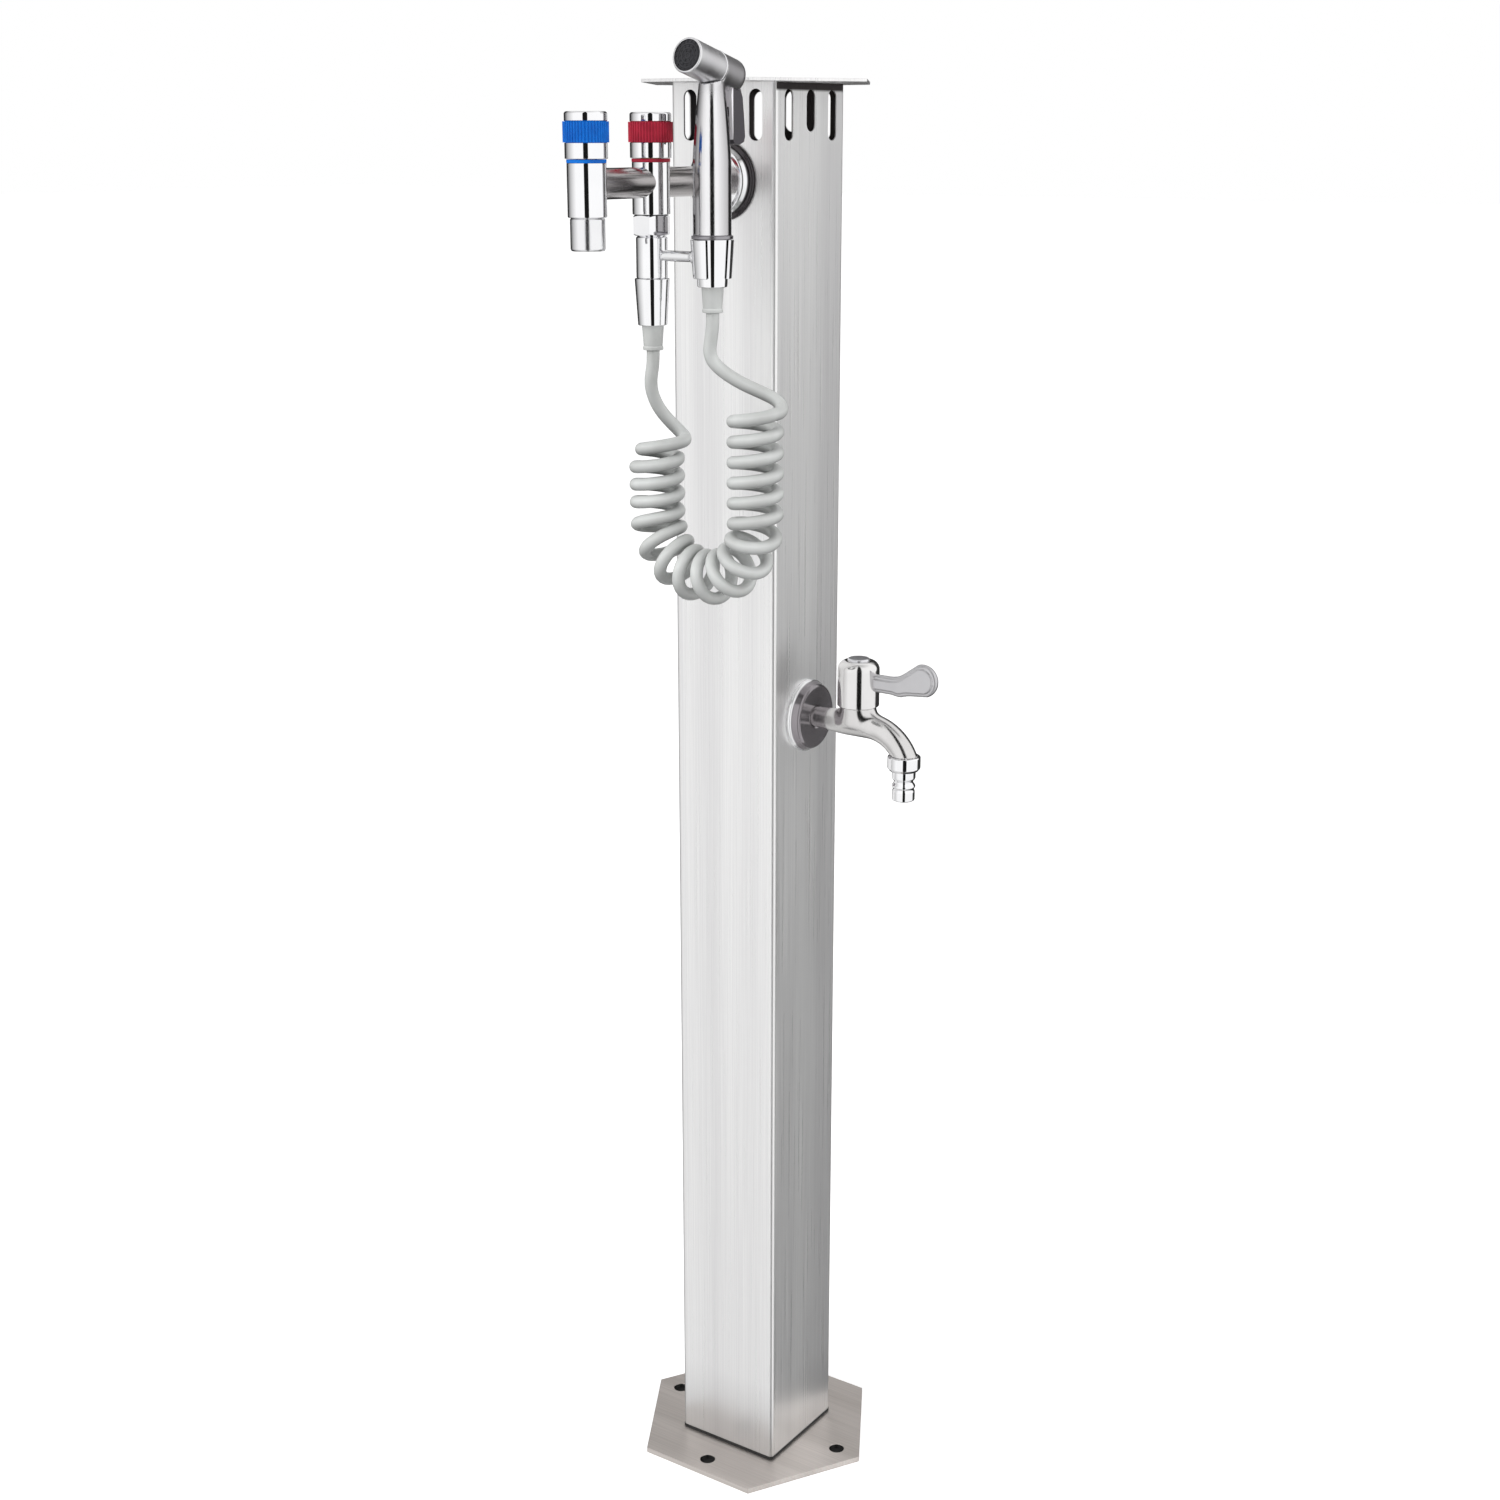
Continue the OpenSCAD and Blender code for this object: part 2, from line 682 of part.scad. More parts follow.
// Cone nut with its wide end at z = 0, hanging down
module cone_nut(thread_d, thread_h) {
    difference() {
        translate([0, 0, -cone_h]) cylinder(d1 = cone_low_d, d2 = cone_top_d, h = cone_h);
        translate([0, 0, -thread_h]) cylinder(d = thread_d, h = thread_h + eps);
        translate([0, 0, -cone_h - eps]) cylinder(d = hose_d + 2 * gap, h = cone_h);
    }
}

module valve_cone_nut() {
    color(chrome) translate([0, first_y, collar_low])
        cone_nut(adapter_tail_d + 2 * fit, adapter_tail_h + over);
}

module ferrule() {
    color(hose_grey) difference() {
        translate([0, 0, -ferrule_h]) cylinder(d1 = ferrule_low_d, d2 = ferrule_d, h = ferrule_h);
        translate([0, 0, -ferrule_h - eps]) cylinder(d = hose_bore, h = ferrule_h + 2 * eps);
    }
}

module valve_ferrule() { translate([0, first_y, cone_low]) ferrule(); }
module sprayer_ferrule() { translate([arm_reach, first_y, sprayer_z - cone_h]) ferrule(); }

// Route of the hose, from the point where the first valve's axis meets the valve tube. The two
// leads are lists of places chosen by hand
hose_origin = [0, first_y, valve_z];
function from_origin(points) = [for (p = points) hose_origin + p];
valve_lead = from_origin([[0, 0, -110], [-3, 0, -119], [-3, 3, -128], [-1, 7, -137],
    [4, 12, -145], [10, 16, -152], [15, 14, -155]]);
sprayer_lead = from_origin([[45, 0, -85], [43, 0, -94], [42, 0, -102], [48, 3, -109],
    [58, 7, -116], [70, 11, -121], [80, 14, -125], [87, 14, -129]]);
coil_left = hose_origin + [2, 0, -156];     // where the coil's middle line starts
coil_right = hose_origin + [76, 0, -133];   // where it ends, the other side of the bend
bend_drop = 200;                            // from the valve tube down to the middle of the bend
bend_z = valve_z - bend_drop;
left_curls = 4;                 // curls down the left leg
bend_curls = 8.1;               // curls round the bend
right_curls = 5.4;              // curls up the right leg
curl_rings = 8;
curl_sides = 6;

curls = left_curls + bend_curls + right_curls;
bend_r = (coil_right[0] - coil_left[0]) / 2;
bend_mid = [coil_left[0] + bend_r, coil_left[1], bend_z];

// Middle of the coil and the direction across it towards the inside of the bend, at curl t
function coil_mid(t) =
    t < left_curls ? coil_left + [0, 0, (bend_z - coil_left[2]) * t / left_curls]
    : t < left_curls + bend_curls ?
        let (a = 180 * (1 + (t - left_curls) / bend_curls)) bend_mid + bend_r * [cos(a), 0, sin(a)]
    : [coil_right[0], coil_right[1],
        bend_z + (coil_right[2] - bend_z) * (t - left_curls - bend_curls) / right_curls];
function coil_in(t) =
    let (a = 180 * max(0, min(1, (t - left_curls) / bend_curls))) [cos(a), 0, sin(a)];
function coil_point(t) =
    coil_mid(t) + curl_r * (cos(360 * t) * coil_in(t) + sin(360 * t) * [0, -1, 0]);

coil_steps = round(curls * curl_rings);
coil_line = [for (i = [0:coil_steps]) coil_point(i * curls / coil_steps)];
coil_start = coil_line[0];
coil_end = coil_line[coil_steps];
stub_in = [0, hose_d, 0];       // straight piece at each end of the coil, one diameter long
coil_route = concat([coil_start + stub_in], coil_line, [coil_end + stub_in]);

function unit(v) = v / norm(v);
function sum_len(p, i = 0) = i >= len(p) - 1 ? 0 : norm(p[i + 1] - p[i]) + sum_len(p, i + 1);

// Smooth curve through the points, n steps from each to the next
function smooth(p, n) = let (m = len(p) - 1) concat(
    [for (i = [0:m - 1], k = [0:n - 1])
        let (a = p[max(i - 1, 0)], b = p[i], c = p[i + 1], d = p[min(i + 2, m)], t = k / n)
            0.5 * (2 * b + (c - a) * t + (2 * a - 5 * b + 4 * c - d) * t * t
                + (3 * b - a - 3 * c + d) * t * t * t)],
    [p[m]]);

// Direction of travel at each point of a route; the ends are given, square to what they meet
function headings(p, first, last) = [for (i = [0:len(p) - 1])
    i == 0 ? first : i == len(p) - 1 ? last : unit(unit(p[i] - p[i - 1]) + unit(p[i + 1] - p[i]))];
// Side direction carried along the route without twist
function carried(v, t) = unit(v - (v * t) * t);
function sides(h, v, i = 0, out = []) = i >= len(h) ? out :
    let (s = carried(v, h[i])) sides(h, s, i + 1, concat(out, [s]));

// Round tube along a route, as one closed polyhedron with n sides
module tube(p, first, last, side, d, n) {
    h = headings(p, first, last);
    s = sides(h, side);
    m = len(p);
    points = [for (i = [0:m - 1], k = [0:n - 1])
        p[i] + d / 2 * (cos(360 * k / n) * s[i] + sin(360 * k / n) * cross(h[i], s[i]))];
    walls = [for (i = [0:m - 2], k = [0:n - 1], f = [0, 1])
        let (a = i * n + k, b = i * n + (k + 1) % n)
            f == 0 ? [a, a + n, b] : [b, a + n, b + n]];
    ends = concat([for (k = [1:n - 2]) [0, k, k + 1]],
        [for (k = [1:n - 2]) [(m - 1) * n, (m - 1) * n + k + 1, (m - 1) * n + k]]);
    polyhedron(points, concat(walls, ends));
}

lead_sides = 8;
lead_steps = 2;
down = [0, 0, -1];
toward_front = [0, -1, 0];
valve_route = concat([[0, first_y, ferrule_low]],
    smooth(concat(valve_lead, [coil_start + stub_in]), lead_steps));
sprayer_route = concat([[arm_reach, first_y, sprayer_z - cone_h - ferrule_h]],
    smooth(concat(sprayer_lead, [coil_end + stub_in]), lead_steps));

module hose_valve_lead() {
    color(hose_grey) tube(valve_route, down, toward_front, [1, 0, 0], hose_d, lead_sides);
}

module hose_sprayer_lead() {
    color(hose_grey) tube(sprayer_route, down, toward_front, [1, 0, 0], hose_d, lead_sides);
}

module hose_coil() {
    color(hose_grey) tube(coil_route, toward_front, -toward_front, [1, 0, 0], hose_d, curl_sides);
}

coil_gap = min([for (i = [0:coil_steps - curl_rings + 2], j = [i + curl_rings - 2:coil_steps])
    norm(coil_line[i] - coil_line[j])]) - hose_d;
echo(coil_gap = coil_gap, hose_length = sum_len(valve_route) + sum_len(coil_route)
    + sum_len(sprayer_route));

// Sprayer: the handle is upright, the head looks forwards and tilts up
flange_t = 2;
flange_d = 25;
handle_z = sprayer_z + flange_t;
handle_len = 86;
handle_top = handle_z + handle_len;
head_back = 22;                 // how far the head's middle line reaches to the rear
head_rise = 4;                  // height of its back end above the handle's top
head_y = first_y + head_back;
head_z = handle_top + head_rise;
thread_d = 14.8;
thread_h = 15;
core_d = 16;                    // spigot of the rear half, inside the front half
core_len = 13;
ring_t = 1.2;
ring_lip = 0.3;
sleeve_len = head_len - head_rear - ring_t;
sleeve_bore = 12;
water_d = 6;                    // channel up the handle
head_bore = 8;                  // channel along the head
head_bore_start = 12.5;
bar_r = grip_bar_d / 2;
// How much the handle's radius shrinks at each height above its lower end
bar_taper = [[42, 0], [48, 0.3], [55, 0.85], [60, 1.4], [68, 2.05], [76, 2.9], [86, 3.9]];

module head_place(along = 0) {
    translate([arm_reach, head_y, head_z]) rotate([90 - head_tilt, 0, 0]) translate([0, 0, along])
        children();
}

module sprayer_cone_nut() {
    color(chrome) translate([arm_reach, first_y, sprayer_z])
        cone_nut(thread_d + 2 * fit, thread_h + over);
}

module sprayer_flange() {
    color(dark_grey) translate([arm_reach, first_y, sprayer_z])
        ring(flange_d, thread_d + 2 * fit, flange_t);
}

module handle_shape() {
    rotate_extrude() polygon(concat([[0, handle_z - thread_h],
        [thread_d / 2, handle_z - thread_h], [thread_d / 2, handle_z],
        [bar_r - 0.6, handle_z], [bar_r, handle_z + 1.5]],
        [for (p = bar_taper) [bar_r - p[1], handle_z + p[0]]], [[0, handle_top]]));
}

// Grip and the rear half of the head in one casting, with a core for the front half and a slot
// for the trigger that is open to the rear and below
module sprayer_handle() {
    color(chrome) difference() {
        union() {
            translate([arm_reach, first_y, 0]) handle_shape();
            head_place() drum(head_d, head_rear, 0.3, 2);
            head_place(head_rear - over) cylinder(d = core_d, h = core_len + over);
        }
        head_place(head_rear) ring(head_d + 4 * gap, core_d + 2 * fit, head_len);
        head_place(head_bore_start) cylinder(d = head_bore, h = head_len);
        translate([arm_reach, first_y, handle_z - thread_h - over])
            cylinder(d = water_d, h = head_z - handle_z + thread_h);
        translate([arm_reach - trigger_w / 2 - gap, pin_y, pin_z]) rotate([90, 0, 90])
            linear_extrude(trigger_w + 2 * gap) polygon(trigger_slot);
        plunger_place(plunger_in) cylinder(d = plunger_d + 2 * run, h = head_len);
        plunger_place(spring_seat) cylinder(d = spring_d + spring_wire + 2 * gap, h = head_rear);
        pin_place() cylinder(d = pin_d + 2 * fit, h = 2 * head_d, center = true);
    }
}

module head_ring() {
    color(chrome) head_place(head_rear) ring(head_d + 2 * ring_lip, core_d + 2 * fit, ring_t);
}

module head_sleeve() {
    color(chrome) head_place(head_rear + ring_t) difference() {
        drum(head_d, sleeve_len, 0.8, 0.3);
        translate([0, 0, -eps]) cylinder(d = core_d + 2 * fit, h = core_len);
        cylinder(d = sleeve_bore, h = sleeve_len + eps);
        translate([0, 0, sleeve_len - face_t]) cylinder(d = face_d + 2 * fit, h = face_t + eps);
    }
}

// Rubber face with round ridges, set in the mouth of the sleeve
face_t = 5;
face_base = 4;
face_ridge_h = 0.4;
face_ridge_w = 1.4;
face_ridges = [1.6, 4.2, 6.8];
module spray_face() {
    color(black) head_place(head_len - face_t) rotate_extrude() union() {
        square([face_d / 2, face_base]);
        for (r = face_ridges) translate([r - face_ridge_w / 2, face_base - face_ridge_h])
            square([face_ridge_w, 2 * face_ridge_h]);
    }
}

// Trigger behind the handle. It hangs from a pin across the head's slot and is open towards the
// handle, so that the plunger ends between its cheeks. Its outlines are given from the pin, as
// distance to the rear and height
pin_d = 3;
pin_len = 14;
pin_back = 16.5;      // from the handle's axis to the pin
pin_drop = 0.5;       // from the handle's top down to the pin
pin_y = first_y + pin_back;
pin_z = handle_top - pin_drop;
trigger_eye = 3.4;
trigger_floor = 1.5;  // where the hollow between the cheeks ends
trigger_cheek = 2.6;
trigger_hollow_top = -12;
trigger_len = 33.5;
trigger_low = -trigger_len;
// Outline as shares of the trigger's length
trigger_blade = [[0.212, -0.206], [0.254, -0.552], [0.284, -0.86], [0.251, -0.955], [0.125, -1],
    [-0.039, -0.985], [-0.096, -0.91]];
trigger_outline = concat([[-4.7, -5.5]], arc(0, 0, trigger_eye, 180, 30, 6),
    trigger_len * trigger_blade);
trigger_slot = [[-4, 4], [-4, 0], [-5.8, -5], [-5.8, -9], [13, -9], [13, 4]];

module pin_place() {
    translate([arm_reach, pin_y, pin_z]) rotate([0, 90, 0]) children();
}

module trigger() {
    color(dark_grey) difference() {
        translate([arm_reach - trigger_w / 2, pin_y, pin_z]) rotate([90, 0, 90])
            linear_extrude(trigger_w) polygon(trigger_outline);
        translate([arm_reach - trigger_w / 2 + trigger_cheek, pin_y + trigger_floor - head_d,
            pin_z + trigger_low - over])
            cube([trigger_w - 2 * trigger_cheek, head_d, trigger_hollow_top - trigger_low + over]);
        pin_place() cylinder(d = pin_d + 2 * run, h = 2 * trigger_w, center = true);
    }
}

module trigger_pin() {
    color(steel) pin_place() cylinder(d = pin_d, h = pin_len, center = true);
}

// Plunger from between the trigger's cheeks into the handle's valve, with its return spring.
// Its places are given as distance to the rear of the handle's axis
plunger_drop = 20.5;  // from the pin down to the plunger
plunger_z = pin_z - plunger_drop;
plunger_d = 3;
plunger_in = 2;
plunger_tip_d = 2.4;
plunger_tip_h = 0.8;
plunger_head_d = 6;
plunger_head_t = 1.2;
plunger_end = pin_y + trigger_floor - gap - eps - first_y;
plunger_seat = plunger_end - plunger_tip_h - plunger_head_t;
spring_seat = 8.8;
module plunger_place(back) {
    translate([arm_reach, first_y + back, plunger_z]) rotate([-90, 0, 0]) children();
}

module sprayer_plunger() {
    color(steel) {
        plunger_place(plunger_in + run) cylinder(d = plunger_d, h = plunger_seat - plunger_in);
        plunger_place(plunger_seat) cylinder(d = plunger_head_d, h = plunger_head_t);
        plunger_place(plunger_seat) cylinder(d = plunger_tip_d, h = plunger_end - plunger_seat);
    }
}

spring_wire = 0.7;
spring_d = 4.6;
spring_turns = 4;
spring_low = spring_seat + spring_wire / 2 + fit;
spring_len = plunger_seat - spring_wire / 2 - fit - spring_low;
spring_steps = spring_turns * curl_rings;
module plunger_spring() {
    color(steel) plunger_place(0) tube([for (i = [0:spring_steps])
        let (a = 360 * i / curl_rings)
            [spring_d / 2 * cos(a), spring_d / 2 * sin(a), spring_low + spring_len * i / spring_steps]],
        [0, 1, 0], [0, 1, 0], [1, 0, 0], spring_wire, curl_sides);
}

// Bib tap
bib_x = face + bib_reach;
bulb_low = bib_z - 10.5;
bulb_top = bib_z + 12.5;
bib_seat = bib_z + 3.5;
outlet_x = bib_x + spout_reach;
spout_drop = 16.5;              // from the neck's middle down to the outlet
outlet_z = bib_z - spout_drop;
bib_cover_h = 8;
spigot_len = 4.8;
bib_spigot_d = 18;
bib_spout_bore = 12;
bulb_round = 8;
neck_bore_drop = 1.5; // the neck's bore runs a little below its middle, clear of the seat

module bib_cover() {
    color(chrome) translate([face, 0, bib_z]) along_right()
        wall_cover(bib_cover_h, neck_d + 2 * fit);
}

module spout_bend(d) {
    translate([outlet_x - spout_drop, 0, outlet_z]) rotate([90, 0, 0])
        rotate_extrude(angle = 90, $fn = 60) translate([spout_drop, 0]) circle(d = d, $fn = 60);
}

module bib_body() {
    color(chrome) difference() {
        union() {
            translate([bib_tail_in + gap, 0, bib_z]) along_right()
                cylinder(d = neck_d, h = bib_x - bib_tail_in - gap);
            translate([bib_x, 0, bulb_low]) rotate_extrude() polygon(concat([[0, 0]],
                arc(bulb_d / 2 - bulb_round, bulb_round, bulb_round, -90, 0, 5),
                [[bulb_d / 2, bulb_top - bulb_low], [0, bulb_top - bulb_low]]));
            translate([bib_x, 0, bib_z]) along_right()
                cylinder(d = spout_d, h = spout_reach - spout_drop);
            spout_bend(spout_d);
            translate([outlet_x, 0, outlet_z - spigot_len])
                cylinder(d = bib_spigot_d, h = spigot_len + over);
        }
        translate([bib_tail_in, 0, bib_z - neck_bore_drop]) along_right()
            cylinder(d = neck_bore, h = bib_x + neck_bore / 2 - bib_tail_in);
        translate([bib_x, 0, bib_z - neck_bore_drop])
            cylinder(d = port_d, h = bib_seat - bib_z + neck_bore_drop + over);
        translate([bib_x, 0, bib_seat]) cylinder(d = chamber_d, h = bulb_top);
        translate([bib_x + port_d, 0, bib_z]) along_right()
            cylinder(d = bib_spout_bore, h = spout_reach - spout_drop - port_d);
        spout_bend(bib_spout_bore);
        translate([outlet_x, 0, outlet_z - spigot_len - over])
            cylinder(d = bib_spout_bore, h = spigot_len + over);
    }
}

bib_shoulder_rise = 2;          // how far the cartridge's shoulder stands above the body
bib_top = bulb_top + bib_shoulder_rise - bib_seat;
hub_z = bulb_top + gap;
hub_web = 20;
hub_hollow_d = 20;
hub_dome = 6;
bib_cap_d = 15;
bib_cap_h = 5;
bib_cap_sink = 3.5;
bib_spindle_top = hub_z + hub_h - bib_cap_sink - 1.5 - bib_seat;
blade_low = 11.2;
blade_root_w = 12;
blade_root = hub_d / 2 - 4;
// Outline of the lever's blade as shares of its reach: distance from the spindle and height above
// its lower edge. The pad at its end is round
blade_pad = [0.843, 0.231];
blade_pad_r = 0.157;
blade_pad_start = -38;
blade_pad_end = 100;
blade_outline = concat([[blade_root, blade_root_w], [blade_root, 0]],
    blade_len * concat([[0.603, -0.017], [0.769, -0.01], [0.901, 0.043]],
        arc(blade_pad[0], blade_pad[1], blade_pad_r, blade_pad_start, blade_pad_end, 8),
        [[0.719, 0.331], [0.612, 0.225], [0.471, 0.187]]));

module bib_cartridge() {
    color(brass) translate([bib_x, 0, bib_seat]) cartridge(bib_barrel_h, bib_top);
}
bib_barrel_h = 6.5;

module bib_spindle() { color(brass) translate([bib_x, 0, bib_seat]) spindle(bib_spindle_top); }
module bib_disc() { color("white") translate([bib_x, 0, bib_seat]) valve_disc(); }

// Domed hub and an upright blade that widens to a paddle at its end
module bib_handle() {
    r = hub_d / 2;
    color(chrome) difference() {
        union() {
            translate([bib_x, 0, hub_z]) rotate_extrude() polygon(concat(
                [[0, 0], [r - 0.6, 0], [r, 0.6]],
                arc(r - hub_dome, hub_h - hub_dome, hub_dome, 0, 90, 8), [[0, hub_h]]));
            translate([bib_x, blade_t / 2, hub_z + blade_low]) rotate([90, 0, 0])
                linear_extrude(blade_t) polygon(blade_outline);
        }
        translate([bib_x, 0, hub_z - eps]) cylinder(d = hub_hollow_d, h = hub_h - hub_web + eps);
        translate([bib_x, 0, hub_z])
            cylinder(d = spindle_d + 2 * fit, h = bib_spindle_top + bib_seat - hub_z + fit);
        translate([bib_x, 0, hub_z]) cylinder(d = stud_d + 2 * fit, h = hub_h);
        translate([bib_x, 0, hub_z + hub_h - bib_cap_sink])
            cylinder(d = bib_cap_d + 2 * fit, h = bib_cap_sink + eps);
    }
}

module bib_cap() {
    color(chrome) translate([bib_x, 0, hub_z + hub_h - bib_cap_sink]) {
        drum(bib_cap_d, bib_cap_h, 0.6, 0.1);
        translate([0, 0, -knob_stud_h]) cylinder(d = stud_d, h = knob_stud_h + over);
    }
}

bib_nut_h = 10;
bib_nut_lip = 1.5;
bib_nut_low = outlet_z - bib_nut_h;
tail_flange_t = 2;
tail_len = 20.5;
tail_bore = 9;
module bib_nut() {
    color(chrome) translate([outlet_x, 0, bib_nut_low]) difference() {
        drum(bib_nut_d, bib_nut_h, 0.5, 0.8);
        translate([0, 0, bib_nut_lip]) cylinder(d = bib_spigot_d + 2 * fit, h = bib_nut_h);
        translate([0, 0, -eps]) cylinder(r = tail_r - tail_inset + fit, h = bib_nut_h);
    }
}

// Hose tail: a flange inside the nut, a plain part under it, then a barb and a plain end.
// Its outline is given as how far it stays inside the plain part and how far it lies below the nut
tail_plain = 6.2;
tail_inset = 0.4;     // how much narrower the tail is inside the nut than below it
tail_outline = [[tail_inset, gap], [0, gap], [0, tail_plain], [1.5, 6.8], [1.3, 8.2],
    [0.4, 10.6], [0.4, 11.6], [0.9, 12.6], [0.9, 13.4], [0.5, 14], [0.5, 19.7], [1.2, tail_len]];
module bib_tail() {
    color(chrome) translate([outlet_x, 0, bib_nut_low]) rotate_extrude() polygon(concat(
        [[tail_bore / 2, bib_nut_lip + tail_flange_t],
            [bib_spigot_d / 2, bib_nut_lip + tail_flange_t],
            [bib_spigot_d / 2, bib_nut_lip + fit], [tail_r - tail_inset, bib_nut_lip + fit]],
        [for (p = tail_outline) [tail_r - p[0], -p[1]]],
        [[tail_bore / 2, -tail_len]]));
}

base_plate();
foot_gasket();
post_tube();
post_screws();
top_plate();
inlet_fitting();
riser_lower();
bib_tee();
riser_upper();
top_elbow();
valve_wall_nut();
bib_wall_nut();
valve_cover();
valve_body();
plain_nozzle();
blue_handle();
blue_cap();
blue_grip_ring();
blue_index_ring();
blue_cartridge();
blue_spindle();
blue_disc();
red_handle();
red_cap();
red_grip_ring();
red_index_ring();
red_cartridge();
red_spindle();
red_disc();
holder_nut();
hose_adapter();
holder_bracket();
holder_clip();
valve_cone_nut();
valve_ferrule();
hose_valve_lead();
hose_coil();
hose_sprayer_lead();
sprayer_ferrule();
sprayer_cone_nut();
sprayer_flange();
sprayer_handle();
head_ring();
head_sleeve();
spray_face();
trigger();
trigger_pin();
sprayer_plunger();
plunger_spring();
bib_cover();
bib_body();
bib_handle();
bib_cap();
bib_cartridge();
bib_spindle();
bib_disc();
bib_nut();
bib_tail();
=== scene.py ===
# Garden standpipe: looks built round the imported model
import bpy
import bmesh
import json
import math
from mathutils import Matrix, Vector


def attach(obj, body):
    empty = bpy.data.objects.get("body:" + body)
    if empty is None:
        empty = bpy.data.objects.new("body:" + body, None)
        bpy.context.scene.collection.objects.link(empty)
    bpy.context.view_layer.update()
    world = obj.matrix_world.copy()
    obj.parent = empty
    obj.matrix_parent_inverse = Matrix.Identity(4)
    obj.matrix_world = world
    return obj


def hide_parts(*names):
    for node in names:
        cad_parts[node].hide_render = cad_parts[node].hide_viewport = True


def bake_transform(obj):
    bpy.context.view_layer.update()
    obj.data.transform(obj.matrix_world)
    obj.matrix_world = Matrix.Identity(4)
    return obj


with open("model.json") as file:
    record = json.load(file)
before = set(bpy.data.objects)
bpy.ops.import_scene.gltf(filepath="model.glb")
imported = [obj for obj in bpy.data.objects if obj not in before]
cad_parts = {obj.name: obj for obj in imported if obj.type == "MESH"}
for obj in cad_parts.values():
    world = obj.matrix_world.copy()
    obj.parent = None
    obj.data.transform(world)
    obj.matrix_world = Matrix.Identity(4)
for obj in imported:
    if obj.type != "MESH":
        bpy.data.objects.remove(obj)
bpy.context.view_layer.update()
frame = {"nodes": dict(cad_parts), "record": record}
print("model loaded,", len(frame["nodes"]), "nodes")
mm = 0.001

# the camera of the photograph, metres and degrees
cameraSetup = {"place": (0.8028, -1.1829, 0.9435), "azimuth": 34.38, "pitch": 16.02, "lens": 51.41}


def addCamera(setup):
    a, p = math.radians(setup["azimuth"]), math.radians(setup["pitch"])
    look = Vector((-math.sin(a) * math.cos(p), math.cos(a) * math.cos(p), -math.sin(p)))
    data = bpy.data.cameras.new("camera")
    data.lens, data.sensor_width = setup["lens"], 36
    data.clip_start, data.clip_end = 0.02, 60
    camera = bpy.data.objects.new("camera", data)
    camera.location = setup["place"]
    camera.rotation_euler = look.to_track_quat("-Z", "Y").to_euler()
    bpy.context.scene.collection.objects.link(camera)
    bpy.context.scene.camera = camera


addCamera(cameraSetup)

# hose, on the same route as the solids, millimetres
hose = {
    "diameter": 8, "sides": 20, "curlRadius": 13.5, "ringsPerCurl": 28, "leadSteps": 6,
    "valveEnd": (0, -115, 816.5), "sprayerEnd": (45, -115, 841),
    "valveLead": [(0, -115, 806), (-3, -115, 797), (-3, -112, 788), (-1, -108, 779),
        (4, -103, 771), (10, -99, 764), (15, -101, 761)],
    "sprayerLead": [(45, -115, 831), (43, -115, 822), (42, -115, 814), (48, -112, 807),
        (58, -108, 800), (70, -104, 795), (80, -101, 791), (87, -101, 787)],
    "coilLeft": (2, -115, 760), "coilRight": (76, -115, 783), "bendHeight": 716,
    "leftCurls": 4, "bendCurls": 8.1, "rightCurls": 5.4, "easing": 26, "easedStart": 80, "easedEnd": 60,
}


def coilPoint(t, h):
    left, right = Vector(h["coilLeft"]), Vector(h["coilRight"])
    bendRadius = (right.x - left.x) / 2
    bendMiddle = Vector((left.x + bendRadius, left.y, h["bendHeight"]))
    past = t - h["leftCurls"]
    turn = math.pi * max(0, min(1, past / h["bendCurls"]))
    inward = Vector((math.cos(turn), 0, math.sin(turn)))
    if past < 0:
        middle = left + Vector((0, 0, (h["bendHeight"] - left.z) * t / h["leftCurls"]))
    elif past < h["bendCurls"]:
        middle = bendMiddle - bendRadius * inward
    else:
        up = (past - h["bendCurls"]) / h["rightCurls"]
        middle = Vector((right.x, right.y, h["bendHeight"] + (right.z - h["bendHeight"]) * up))
    curl = 2 * math.pi * t
    return middle + h["curlRadius"] * (math.cos(curl) * inward - math.sin(curl) * Vector((0, 1, 0)))


def smoothRoute(points, steps):
    p, out = [Vector(q) for q in points], []
    for i in range(len(p) - 1):
        a, b, c, d = p[max(i - 1, 0)], p[i], p[i + 1], p[min(i + 2, len(p) - 1)]
        for k in range(steps):
            t = k / steps
            out.append(0.5 * (2 * b + (c - a) * t + (2 * a - 5 * b + 4 * c - d) * t * t
                + (3 * b - a - 3 * c + d) * t ** 3))
    return out + [p[-1]]


def eased(points, passes, *stretches):
    # the tight places of a stretch are evened out, its ends stay
    for low, high in stretches:
        part = points[low:high]
        for _ in range(passes):
            middle = [(a + b * 2 + c) / 4 for a, b, c in zip(part, part[1:-1], part[2:])]
            part = part[:1] + middle + part[-1:]
        points = points[:low] + part + (points[high:] if high else [])
    return points


def hoseRoute(h):
    curls = h["leftCurls"] + h["bendCurls"] + h["rightCurls"]
    count = round(curls * h["ringsPerCurl"])
    coil = [coilPoint(curls * i / count, h) for i in range(count + 1)]
    stub = Vector((0, h["diameter"], 0))
    steps = h["leadSteps"]
    start = smoothRoute([h["valveEnd"]] + h["valveLead"] + [coil[0] + stub, coil[0], coil[2]], steps)
    end = smoothRoute([h["sprayerEnd"]] + h["sprayerLead"] + [coil[-1] + stub, coil[-1], coil[-3]], steps)
    line = start[:-steps] + coil[1:-1] + end[:-steps][::-1]
    return [q * mm for q in eased(line, h["easing"], (0, h["easedStart"]), (-h["easedEnd"], None))]


def meshPiece(name, build):
    mesh = bmesh.new()
    build(mesh)
    data = bpy.data.meshes.new(name)
    mesh.to_mesh(data)
    mesh.free()
    piece = bpy.data.objects.new(name, data)
    bpy.context.scene.collection.objects.link(piece)
    return piece


